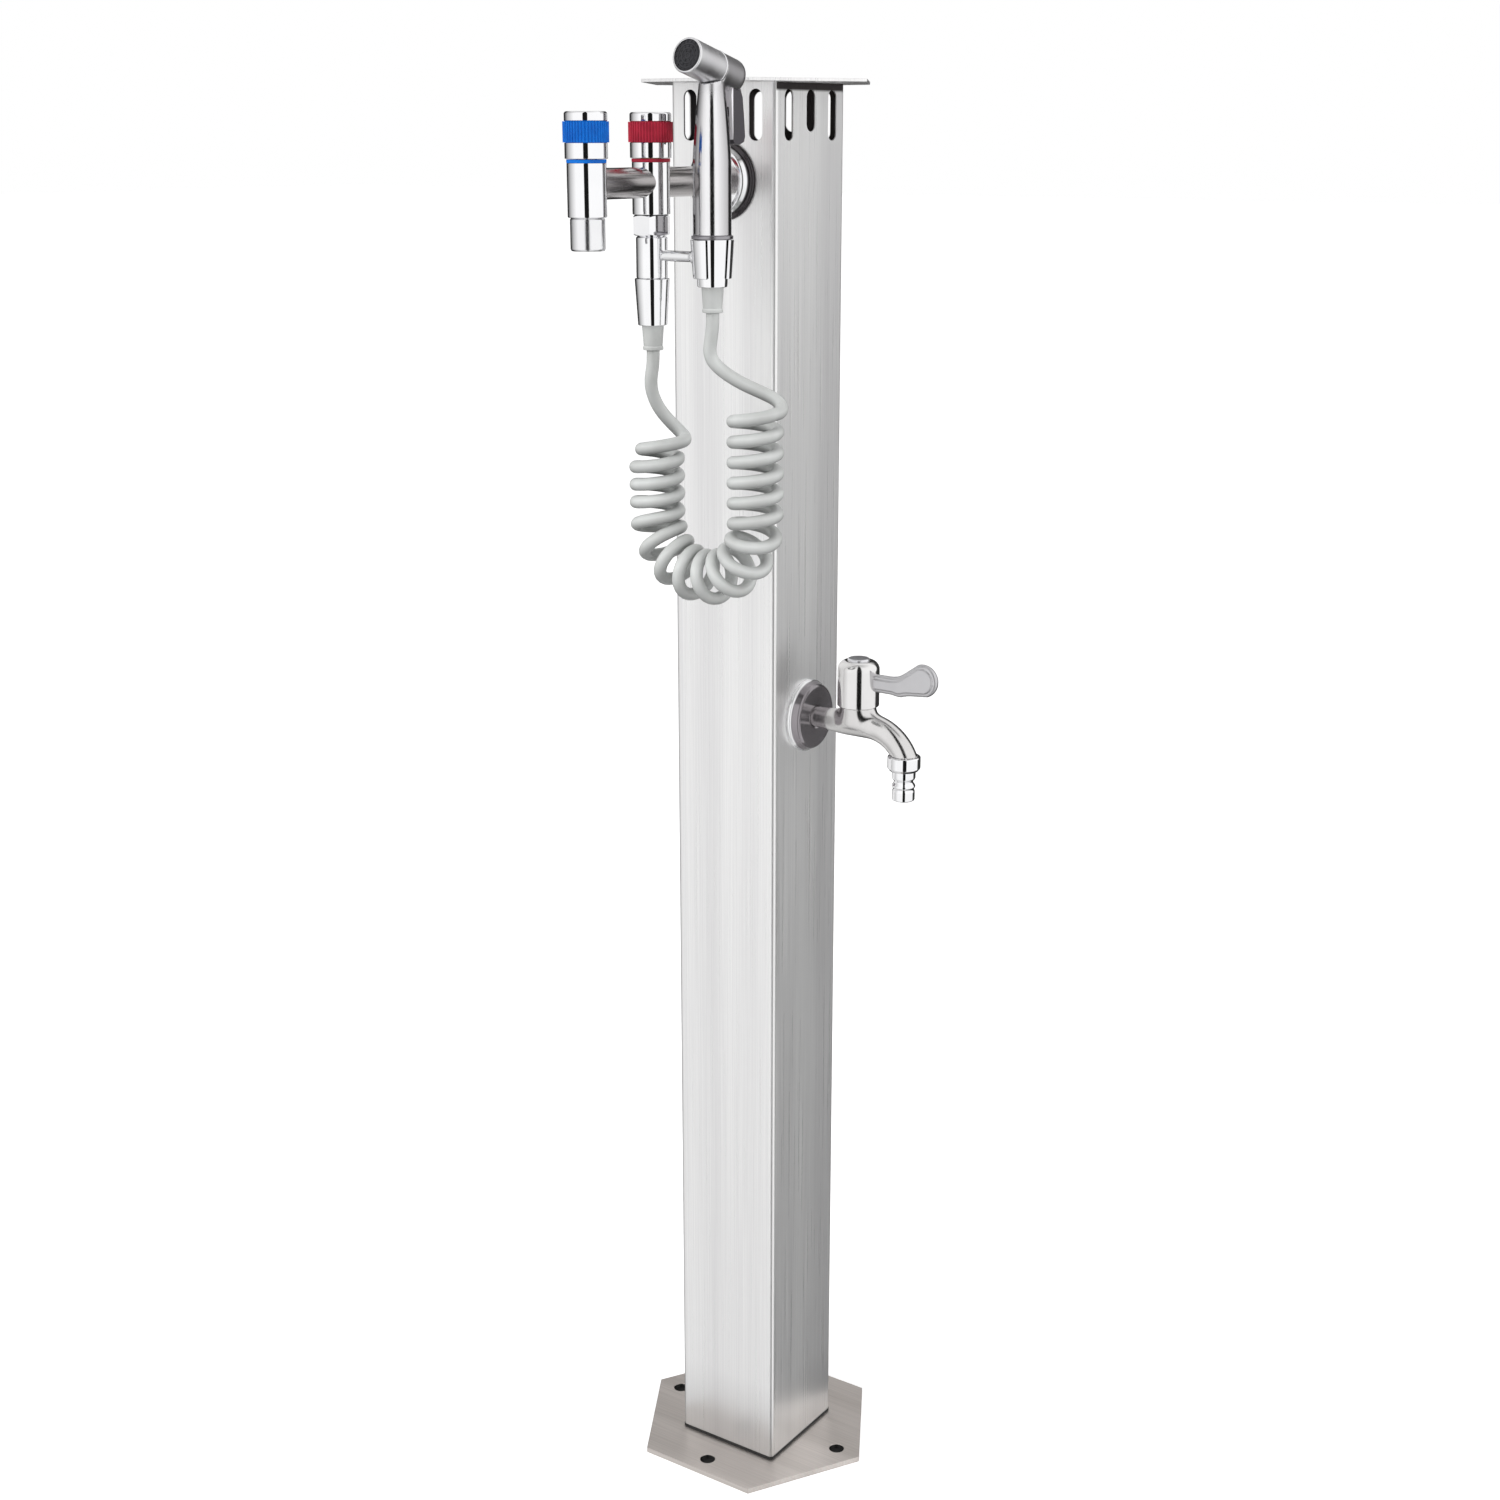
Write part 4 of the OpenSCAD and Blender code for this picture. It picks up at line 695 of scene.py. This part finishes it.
def addHolder(h):
    valve, clip = at(0, h["y"]), at(h["x"], h["y"])
    nut = meshPiece("holder_nut_turned", hexagonNut(h["nutFlats"], h["nutLow"], h["nutTop"], 6.2, valve))
    dress(smoothed(nut, 20), "standpipe", "chrome", ("holder_nut",))
    r, low = h["collarR"], h["collarLow"]
    collar = [(6.1, low), (r - 0.6, low), (r, low + 0.6), (r, h["nutLow"] - 1.3), (r - 1.3, h["nutLow"]),
        (6.1, h["nutLow"])]
    turnedPiece("holder_collar", collar, 0.3, "standpipe", "chrome", ("holder_bracket",), valve)
    slope = (h["coneTop"] - h["coneLow"]) / h["coneLength"]

    def coneR(z):
        return h["coneTop"] - (h["coneZ"] - z) * slope
    inner = [coneR(z) + 0.3 for z in (h["clipLow"], h["clipTop"])]
    outline = [(inner[0], h["clipLow"]), (inner[0] + h["clipWall"], h["clipLow"]),
        (inner[1] + h["clipWall"], h["clipTop"]), (inner[1], h["clipTop"])]
    turnedPiece("holder_clip_bent", outline, 0.5, "standpipe", "chrome", ("holder_clip",), clip,
        sweep=360 - 2 * h["mouthHalf"], start=h["mouth"] + h["mouthHalf"])
    along = at(0, h["y"], h["armZ"]) @ Matrix.Rotation(math.radians(90), 4, "Y")
    reach = h["x"] - coneR(h["armZ"]) - 0.3 - h["clipWall"] / 2
    arm = [(0, 8), (h["armR"], 8), (h["armR"], reach - 4), (h["armR"] + 1.3, reach - 2.2),
        (h["armR"] + 1.5, reach), (0, reach)]
    turnedPiece("holder_arm", arm, 0.8, "standpipe", "chrome", (), along, segments=48)
    for name, place, top, body in (("valve", valve, h["collarLow"], "standpipe"),
            ("sprayer", clip, h["coneZ"], "sprayer")):
        low = top - h["coneLength"]
        cone = [(0, top), (h["coneTop"], top), (h["coneLow"], low), (5, low), (5, low + 3), (0, low + 3)]
        turnedPiece(name + "_cone", cone, 0.5, body, "chrome", (name + "_cone_nut",), place)
        end = low - h["sleeveLength"]
        sleeve = [(0, low + 1), (h["sleeveTop"], low + 1), (h["sleeveTop"], low - 1),
            (h["sleeveLow"] + 0.15, end + 2.4), (h["sleeveLow"] + 0.55, end + 1.8),
            (h["sleeveLow"] + 0.55, end), (0, end)]
        turnedPiece(name + "_hose_sleeve", sleeve, 0.35, body, "hose_plastic", (name + "_ferrule",), place,
            segments=48)


addHolder(holder)

# wall covers: pressed cups with a rolled rim, millimetres
covers = {"radius": 25, "lip": 2.5, "frontDepth": 7, "frontHole": 9.05, "frontFlat": 8, "sideDepth": 8,
    "sideHole": 6.85, "sideFlat": 4.6, "front": (0, -40, 916), "side": (40, 0, 564.5)}


def coverOutline(radius, lip, depth, hole, flat):
    # flat is how far the level face stays inside the rim
    return [(radius - 1, 0), (radius, 0), (radius, 1.1), (radius - 0.5, lip),
        (radius - 0.3 * flat, lip + 0.5), (radius - 0.69 * flat, depth - 0.7), (radius - flat, depth),
        (hole + 1.6, depth), (hole, depth - 0.6), (hole, depth - 1.6), (radius - flat, depth - 1.1),
        (radius - 0.75 * flat, depth - 1.7), (radius - 0.38 * flat, lip - 0.4), (radius - 1, lip - 0.8)]


def addCovers(c):
    for wall, axis, node in (("front", "X", "valve_cover"), ("side", "Y", "bib_cover")):
        sizes = (c[wall + size] for size in ("Depth", "Hole", "Flat"))
        outline = coverOutline(c["radius"], c["lip"], *sizes)
        turnedPiece(wall + "_cover_pressed", outline, 0.7, "standpipe", "chrome", (node,),
            at(*c[wall]) @ Matrix.Rotation(math.radians(90), 4, axis), wall + "_cover_steel")


addCovers(covers)
print("valves, holder and covers made")


class Shape(Sheet):  # a geometry tree with its named sizes
    def __init__(self, name, sizes):
        self.name, self.sizes = name, sizes
        super().__init__(bpy.data.node_groups.new(name, "GeometryNodeTree"))
        self.tree.interface.new_socket("Geometry", in_out="OUTPUT", socket_type="NodeSocketGeometry")
        for key in sizes:
            self.tree.interface.new_socket(key, in_out="INPUT", socket_type="NodeSocketFloat")
        group = self.tree.nodes.new("NodeGroupInput")
        self.size = {key: Wire(self, group.outputs[key]) for key in sizes}

    def aimed(self, operation, first, second, output=0):
        return self.node("ShaderNodeVectorMath", {"operation": operation}, {0: first, 1: second}, output)

    def joined(self, *parts):
        join = self.tree.nodes.new("GeometryNodeJoinGeometry")
        for part in parts[::-1]:
            self.tree.links.new(part.socket, join.inputs[0])
        return Wire(self, join.outputs[0])

    def made(self, geometry, look):
        # the tree's end, its inputs, and the plain mesh that comes out
        metres = self.node("GeometryNodeTransform", values={"Geometry": geometry, "Scale": (mm, mm, mm)})
        single = self.node("GeometryNodeRealizeInstances", values={"Geometry": metres})
        painted = self.node("GeometryNodeSetMaterial", values={"Geometry": single, "Material": looks[look]})
        self.node("NodeGroupOutput", values={0: painted})
        piece = meshPiece(self.name, lambda mesh: None)
        run = piece.modifiers.new("shape", "NODES")
        run.node_group = self.tree
        for socket in self.tree.interface.items_tree:
            if socket.in_out == "INPUT":
                run[socket.identifier] = float(self.sizes[socket.name])
        return baked(piece)


def castPiece(name, sizes, field, low, high, step, look):
    # a casting: the zero surface of a distance field, meshed on a grid and moved onto the surface
    tree = Shape(name, sizes)
    here = tree.node("GeometryNodeInputPosition")
    distance = field(tree, *tree.xyz(here))
    counts, band = [round((b - a) / step) + 1 for a, b in zip(low, high)], 2.0
    volume = tree.node("GeometryNodeVolumeCube", values={
        "Density": (band - distance).clamped(0, 2 * band), "Min": low, "Max": high, "Resolution X": counts[0],
        "Resolution Y": counts[1], "Resolution Z": counts[2]})
    skin = tree.node("GeometryNodeVolumeToMesh", values={"Volume": volume, "Threshold": band})
    reach, slope = 0.05, []
    for axis in range(3):
        aside = [reach * (k == axis) for k in range(3)]
        ahead = field(tree, *tree.xyz(tree.aimed("ADD", here, aside)))
        behind = field(tree, *tree.xyz(tree.aimed("SUBTRACT", here, aside)))
        slope.append((ahead - behind) / (2 * reach))
    slope = tree.vector(*slope)
    steep = tree.aimed("DOT_PRODUCT", slope, slope, 1)
    shift = tree.node("ShaderNodeVectorMath", {"operation": "SCALE"}, {0: slope, 3: -(distance / steep)})
    facing = tree.node("ShaderNodeVectorMath", {"operation": "NORMALIZE"}, {0: slope})
    skin = tree.node("GeometryNodeSetMeshNormal", {"mode": "FREE", "domain": "POINT"},
        {"Mesh": skin, "Custom Normal": facing})
    skin = tree.node("GeometryNodeSetPosition", values={"Geometry": skin, "Offset": shift})
    return tree.made(skin, look)


def blendStep(tree, value, low, high):
    return tree.node("ShaderNodeMapRange", {"interpolation_type": "SMOOTHSTEP"},
        {"Value": value, "From Min": low, "From Max": high, "To Min": 0.0, "To Max": 1.0})


def melted(first, second, reach):
    return first.maths("SMOOTH_MIN", first, second, reach)


def cutBy(first, second, reach):
    return first.maths("SMOOTH_MAX", first, second, reach)


# bib tap: body with its neck and spout, lever, hub, cap, outlet nut and hose tail, millimetres
tap = {
    "cast": {"axis": 81, "neckZ": 564.5, "neckR": 6.75, "bodyR": 8.5, "endR": 8.25, "columnR": 11.9,
        "top": 577, "bendStart": 89.7, "bendR": 31.1, "end": 548.05, "wall": 41, "blend": 9},
    "lever": {"axis": 81, "root": 8, "rootR": 6.0, "waist": 32, "waistR": 6.0, "pad": 49.3, "padUp": 12.4,
        "padR": 11.0, "low": 588.5, "half": 2.5, "round": 2.3, "blend": 5},
    "castGrid": ((40, -14.2, 545), (131.2, 14.2, 579), 0.6),
    "leverGrid": ((88, -4.4, 586), (143.6, 4.4, 615), 0.4),
    "hub": {"x": 81, "radius": 14, "low": 577.3, "height": 31, "dome": 6, "capR": 7.5, "capTop": 609.8},
    "nut": {"x": 117.2, "top": 548, "low": 538, "radius": 11},
    "tailR": 7.9, "widens": (46.0, 74.0), "narrows": (90.0, 117.0),
}


def tapField(tree, x, y, z):
    s = tree.size
    level = z - s["neckZ"]
    fromBend = ((x - s["bendStart"]) ** 2 + (level + s["bendR"]) ** 2) ** 0.5 - s["bendR"]
    off = level + (x > s["bendStart"]) * (fromBend - level)
    wide = s["neckR"] + (s["bodyR"] - s["neckR"]) * blendStep(tree, x, *tap["widens"])
    wide = wide + (s["endR"] - s["bodyR"]) * blendStep(tree, x, *tap["narrows"])
    pipe = (off * off + y * y) ** 0.5 - wide
    column = ((x - s["axis"]) ** 2 + y * y) ** 0.5 - s["columnR"]
    column = cutBy(column, s["neckZ"] - z, 4.0)
    body = melted(pipe, column, s["blend"])
    body = cutBy(body, z - s["top"], 0.5)
    body = cutBy(body, s["end"] - z, 0.3)
    return cutBy(body, s["wall"] - x, 0.3)


def taperedBar(x, z, start, end):
    # distance from a flat bar whose ends are circles (x, z, radius)
    runX, runZ = end[0] - start[0], end[1] - start[1]
    share = (((x - start[0]) * runX + (z - start[1]) * runZ) / (runX * runX + runZ * runZ)).clamped(0, 1)
    offX, offZ = x - start[0] - runX * share, z - start[1] - runZ * share
    return (offX * offX + offZ * offZ) ** 0.5 - (start[2] + (end[2] - start[2]) * share)


def leverField(tree, x, y, z):
    s = tree.size
    along, up = x - s["axis"], z - s["low"]
    root = (s["root"], s["rootR"], s["rootR"])
    waist = (s["waist"], s["waistR"], s["waistR"])
    pad = (s["pad"], s["padUp"], s["padR"])
    flat = melted(taperedBar(along, up, root, waist), taperedBar(along, up, waist, pad), s["blend"])
    flat = flat + s["round"]
    side = abs(y) - (s["half"] - s["round"])
    inset, over = flat.atLeast(0), side.atLeast(0)
    return (inset * inset + over * over) ** 0.5 + flat.clamped(-1, 0) - s["round"]


def addTap(t):
    body = castPiece("bib_body_cast", t["cast"], tapField, *t["castGrid"], "cast_chrome")
    dress(body, "standpipe", "chrome", ("bib_body",), "cast_chrome")
    lever = castPiece("bib_lever_blade", t["lever"], leverField, *t["leverGrid"], "lever_chrome")
    dress(lever, "bib_lever", "lever_chrome", ("bib_handle",))
    h, n = t["hub"], t["nut"]
    r, c = h["radius"], h["capR"]
    top = h["low"] + h["height"]
    dome = [(r - h["dome"] + h["dome"] * math.cos(a), top - h["dome"] + h["dome"] * math.sin(a))
        for a in (math.radians(9 * k) for k in range(11))]
    hub = ([(0, h["low"]), (r - 0.6, h["low"]), (r, h["low"] + 0.6)] + dome
        + [(c + 0.15, top), (c + 0.15, top - 0.8), (0, top - 0.8)])
    dress(smoothed(meshPiece("bib_hub", turned(hub, at(h["x"], 0)))), "bib_lever", "chrome", (),
        "tap_chrome")
    cap = [(0, top - 0.8), (c, top - 0.8), (c, h["capTop"] - 0.7), (c - 0.7, h["capTop"]),
        (0, h["capTop"] + 0.05)]
    turnedPiece("bib_hub_cap", cap, 0.35, "bib_lever", "chrome", ("bib_cap",), at(h["x"], 0), "cap_steel")
    r = n["radius"]
    nut = [(0, n["top"]), (r - 0.6, n["top"]), (r, n["top"] - 0.6), (r, n["low"] + 2.0), (r - 1.6, n["low"]),
        (7, n["low"]), (7, n["low"] + 1), (0, n["low"] + 1)]
    turnedPiece("bib_outlet_nut", nut, 0.35, "standpipe", "chrome", ("bib_nut",), at(n["x"], 0))
    r = t["tailR"]
    tail = [(0, 1), (r, 1), (r, -4.8), (r - 0.4, -5.7), (r - 1.5, -6.8), (r - 1.5, -7.9), (r, -10.1),
        (r, -10.9), (r - 0.9, -12.2), (r - 0.9, -12.9), (r - 0.3, -13.9), (r - 0.3, -19.8),
        (r - 0.9, -20.45), (4.5, -20.45), (4.5, -12), (0, -12)]
    turnedPiece("bib_hose_barb", tail, 0.5, "standpipe", "chrome", ("bib_tail",), at(n["x"], 0, n["low"]))


addTap(tap)
print("bib tap made")

# sprayer: grip with the rear of its head, ring, front sleeve, rubber face, flange, trigger, millimetres
sprayer = {
    "cast": {"x": 45, "gripY": -115, "headY": -93, "headZ": 976, "low": 886.05, "gripR": 11.5, "taper": 3.9,
        "taperLow": 926, "taperHigh": 972, "headR": 10.25, "headLength": 20.45, "slotHalf": 6.3,
        "slotFront": -103.6, "slotLow": 962.5, "slotTop": 975.5, "blend": 5},
    "tilt": 14, "ringR": 10.55, "ringT": 1.2, "sleeveLength": 26.3, "rim": 9.0, "faceDepth": 1.0,
    "flangeR": 12.5, "flangeLow": 884, "flangeTop": 886, "grid": ((32, -127.6, 884), (58, -80, 990), 0.55),
    "nubs": {"counts": (6, 12, 18), "radii": (2.9, 5.5, 8.0), "radius": 0.5, "rise": 0.55, "sides": 10,
        "sunk": 0.15},
}


def gripField(tree, x, y, z):
    s = tree.size
    across = x - s["x"]
    rise = ((z - s["taperLow"]) / (s["taperHigh"] - s["taperLow"])).clamped(0, 1)
    wide = s["gripR"] - s["taper"] * rise ** 1.35
    bar = (across * across + (y - s["gripY"]) ** 2) ** 0.5 - wide
    bar = cutBy(bar, z - s["headZ"], 2.0)
    sine, cosine = math.sin(math.radians(sprayer["tilt"])), math.cos(math.radians(sprayer["tilt"]))
    back, up = y - s["headY"], z - s["headZ"]
    along = up * sine - back * cosine
    off = back * sine + up * cosine
    drum = (across * across + off * off) ** 0.5 - s["headR"]
    head = cutBy(cutBy(drum, -along, 5.0), along - s["headLength"], 0.3)
    body = cutBy(melted(bar, head, s["blend"]), s["low"] - z, 0.6)
    body = cutBy(body, -(drum - 0.6).atLeast(s["headLength"] - along), 0.3)
    slot = (abs(across) - s["slotHalf"]).atLeast(s["slotFront"] - y)
    return cutBy(body, -slot.atLeast(s["slotLow"] - z).atLeast(z - s["slotTop"]), 0.5)


def addSprayer(s):
    grip = castPiece("sprayer_grip", s["cast"], gripField, *s["grid"], "grip_chrome")
    dress(grip, "sprayer", "chrome", ("sprayer_handle",), "grip_chrome")
    c = s["cast"]
    head = at(c["x"], c["headY"], c["headZ"]) @ Matrix.Rotation(math.radians(90 - s["tilt"]), 4, "X")
    start = c["headLength"] + 0.05
    r, t = s["ringR"], s["ringT"]
    turnedPiece("sprayer_ring", [(8.1, start), (r, start), (r, start + t), (8.1, start + t)], 0.35,
        "sprayer", "chrome", ("head_ring",), head)
    low, r = start + t, c["headR"]
    top = low + s["sleeveLength"]
    sleeve = [(8.1, low), (r - 0.3, low), (r, low + 0.3), (r, top - 0.8), (r - 0.45, top - 0.1),
        (s["rim"] + 0.2, top), (s["rim"], top - 0.2), (s["rim"], top - 2.2), (8.1, top - 2.2)]
    turnedPiece("sprayer_front_sleeve", sleeve, 0.3, "sprayer", "chrome", ("head_sleeve",), head,
        "sleeve_chrome")
    face = top - s["faceDepth"]
    outline = [(0, top - 4.5), (s["rim"] - 0.05, top - 4.5), (s["rim"] - 0.05, face), (s["rim"] - 0.8, face)]
    for ridge in (6.8, 4.2, 1.6):
        outline += [(ridge + 0.7, face), (ridge + 0.45, face + 0.45), (ridge - 0.45, face + 0.45),
            (ridge - 0.7, face)]
    turnedPiece("spray_face_rubber", outline + [(0, face)], 0.25, "sprayer", "face_rubber", ("spray_face",),
        head, segments=64)
    addNubs(s["nubs"], head, face)
    r = s["flangeR"]
    flange = [(7.4, s["flangeLow"]), (r, s["flangeLow"]), (r, s["flangeTop"]), (7.4, s["flangeTop"])]
    turnedPiece("sprayer_collar", flange, 0.4, "sprayer", "dark_plastic", ("sprayer_flange",),
        at(c["x"], c["gripY"]), "collar_grey")
    softened("trigger", 0.5, "trigger", "dark_plastic", look="trigger_plastic")
    softened("trigger_pin", 0.2, "sprayer", "fastener_steel")


def addNubs(n, place, face):
    # rings of small tubes on the rubber face
    circles = dict(zip(("inner", "middle", "outer"), n["radii"]))
    tree = Shape("spray_nubs", {"radius": n["radius"], "rise": n["rise"], **circles})
    nub = tree.node("GeometryNodeMeshCylinder", values={
        "Vertices": n["sides"], "Radius": tree.size["radius"], "Depth": tree.size["rise"]})
    rings = []
    for count, key in zip(n["counts"], circles):
        spots = tree.node("GeometryNodeMeshCircle", values={"Vertices": count, "Radius": tree.size[key]})
        rings.append(tree.node("GeometryNodeInstanceOnPoints", values={"Points": spots, "Instance": nub}))
    turn = (place @ at(0, 0, face + n["sunk"])).decompose()
    moved = tree.node("GeometryNodeTransform", values={
        "Geometry": tree.joined(*rings), "Translation": turn[0], "Rotation": turn[1].to_euler()})
    dress(smoothed(tree.made(moved, "face_rubber")), "sprayer", "face_rubber")


addSprayer(sprayer)
print("sprayer made")

# grip rings of the knobs: one rib for each step round the ring
gripRing = {"ribs": 44, "ribSides": 12, "radius": 13.0, "ribRadius": 0.72, "sunk": 0.35, "low": 939.35,
    "top": 951.05, "core": 12.9, "bore": 11.85}


def addGripRing(g, hue, y):
    tree = Shape(hue + "_knob_grip", {key: g[key] for key in ("radius", "ribRadius", "low", "top")})
    tall = tree.size["top"] - tree.size["low"]
    rib = tree.node("GeometryNodeMeshCylinder", values={
        "Vertices": g["ribSides"], "Radius": tree.size["ribRadius"], "Depth": tall})
    spots = tree.node("GeometryNodeMeshCircle", values={
        "Vertices": g["ribs"], "Radius": tree.size["radius"] - tree.size["ribRadius"] * g["sunk"]})
    ribs = tree.node("GeometryNodeInstanceOnPoints", values={"Points": spots, "Instance": rib})
    middle = tree.vector(0.0, float(y), (tree.size["top"] + tree.size["low"]) / 2)
    moved = tree.node("GeometryNodeTransform", values={"Geometry": ribs, "Translation": middle})
    dress(smoothed(tree.made(moved, hue + "_plastic"), 50), hue + "_knob", hue + "_plastic",
        (hue + "_grip_ring",))
    core = [(g["bore"], g["low"]), (g["core"], g["low"]), (g["core"], g["top"]), (g["bore"], g["top"])]
    turnedPiece(hue + "_grip_core", core, 0.2, hue + "_knob", hue + "_plastic", (), at(0, y))


for hue in ("blue", "red"):
    addGripRing(gripRing, hue, valves[hue + "Y"])
print("grip rings made")

# foot, post and lid: edges broken
edges = {"base_plate": 0.7, "post_tube": 0.35, "top_plate": 0.5}
for part in frame["record"]["subparts"]:
    if part["node"] in edges:
        softened(part["node"], edges[part["node"]], "standpipe", part["material_slot"])

# rubber line round the foot of the post, millimetres
gasket = {"half": 40.35, "corner": 3.2, "hole": 38.5, "holeCorner": 1.5, "low": 4, "top": 6,
    "cornerSteps": 4}


def squareRing(g):
    def build(mesh):
        loops, steps = [], g["cornerSteps"]
        inner, outer = (g["hole"], g["holeCorner"]), (g["half"], g["corner"])
        for (half, corner), z in ((inner, g["low"]), (outer, g["low"]), (outer, g["top"]),
                (inner, g["top"])):
            loop = []
            for quarter in range(4):
                turn = Matrix.Rotation(math.radians(90 * quarter), 3, "Z")
                middle = turn @ Vector((half - corner, half - corner, z))
                for k in range(steps + 1):
                    a = math.radians(90 * (quarter + k / steps))
                    point = middle + corner * Vector((math.cos(a), math.sin(a), 0))
                    loop.append(mesh.verts.new(point * mm))
            loops.append(loop)
        spanned(mesh, loops)
        bmesh.ops.recalc_face_normals(mesh, faces=mesh.faces)
    return build


dress(smoothed(meshPiece("foot_seal", squareRing(gasket))), "standpipe", "gasket_rubber", ("foot_gasket",))

# button-head screws with a hexagon socket, on the back and the left of the foot, millimetres
screws = {"radius": 4.75, "rise": 2.6, "socket": 1.7, "depth": 1.6, "face": 40.05, "apart": 44, "height": 30,
    "sides": 24}


def screwHead(s):
    # rings from the wall over the dome and down into the socket, whose rings are hexagons
    rings = [(s["radius"], 0, False), (s["radius"], 0.4, False), (s["radius"] * 0.93, 1.3, False),
        (s["radius"] * 0.74, 2.1, False), (s["radius"] * 0.5, s["rise"], False),
        (s["socket"], s["rise"], True), (s["socket"], s["rise"] - s["depth"], True)]

    def build(mesh):
        made, count = [], s["sides"]
        for radius, height, flats in rings:
            ring = []
            for k in range(count):
                a = 2 * math.pi * k / count
                r = radius / math.cos(a % (math.pi / 3) - math.pi / 6) if flats else radius
                ring.append(mesh.verts.new((r * math.cos(a), r * math.sin(a), height)))
            made.append(ring)
        spanned(mesh, made, closed=False)
        mesh.faces.new(made[-1])
        mesh.faces.new(made[0][::-1])
    return build


def addScrews(s):
    head = meshPiece("screw_head", screwHead(s))
    tree = Shape("foot_screws", {"face": s["face"], "apart": s["apart"], "height": s["height"]})
    size = tree.size
    source = tree.node("GeometryNodeObjectInfo", values={"Object": head}, output=4)
    pairs = []
    for turn in (0.0, 90.0):  # one pair on the back, one on the left
        spots = tree.node("GeometryNodeMeshLine", {"mode": "END_POINTS"}, {
            "Count": 2, "Start Location": tree.vector(size["apart"] * -0.5, size["face"], size["height"]),
            "Offset": tree.vector(size["apart"] * 0.5, size["face"], size["height"])})
        pair = tree.node("GeometryNodeInstanceOnPoints", values={
            "Points": spots, "Instance": source, "Rotation": (math.radians(-90), 0, 0)})
        pairs.append(tree.node("GeometryNodeTransform", values={"Geometry": pair,
            "Rotation": (0, 0, math.radians(turn))}))
    piece = tree.made(tree.joined(*pairs), "fastener_steel")
    bpy.data.objects.remove(head)
    dress(smoothed(piece, 30), "standpipe", "fastener_steel", ("post_screws",))


addScrews(screws)
print("foot, post, lid and screws finished")

hosePiece.data.materials.append(looks["hose_plastic"])
# the sprayer's lift is spread along the right leg of the coil
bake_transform(hosePiece)
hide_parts("hose_valve_lead", "hose_coil", "hose_sprayer_lead")
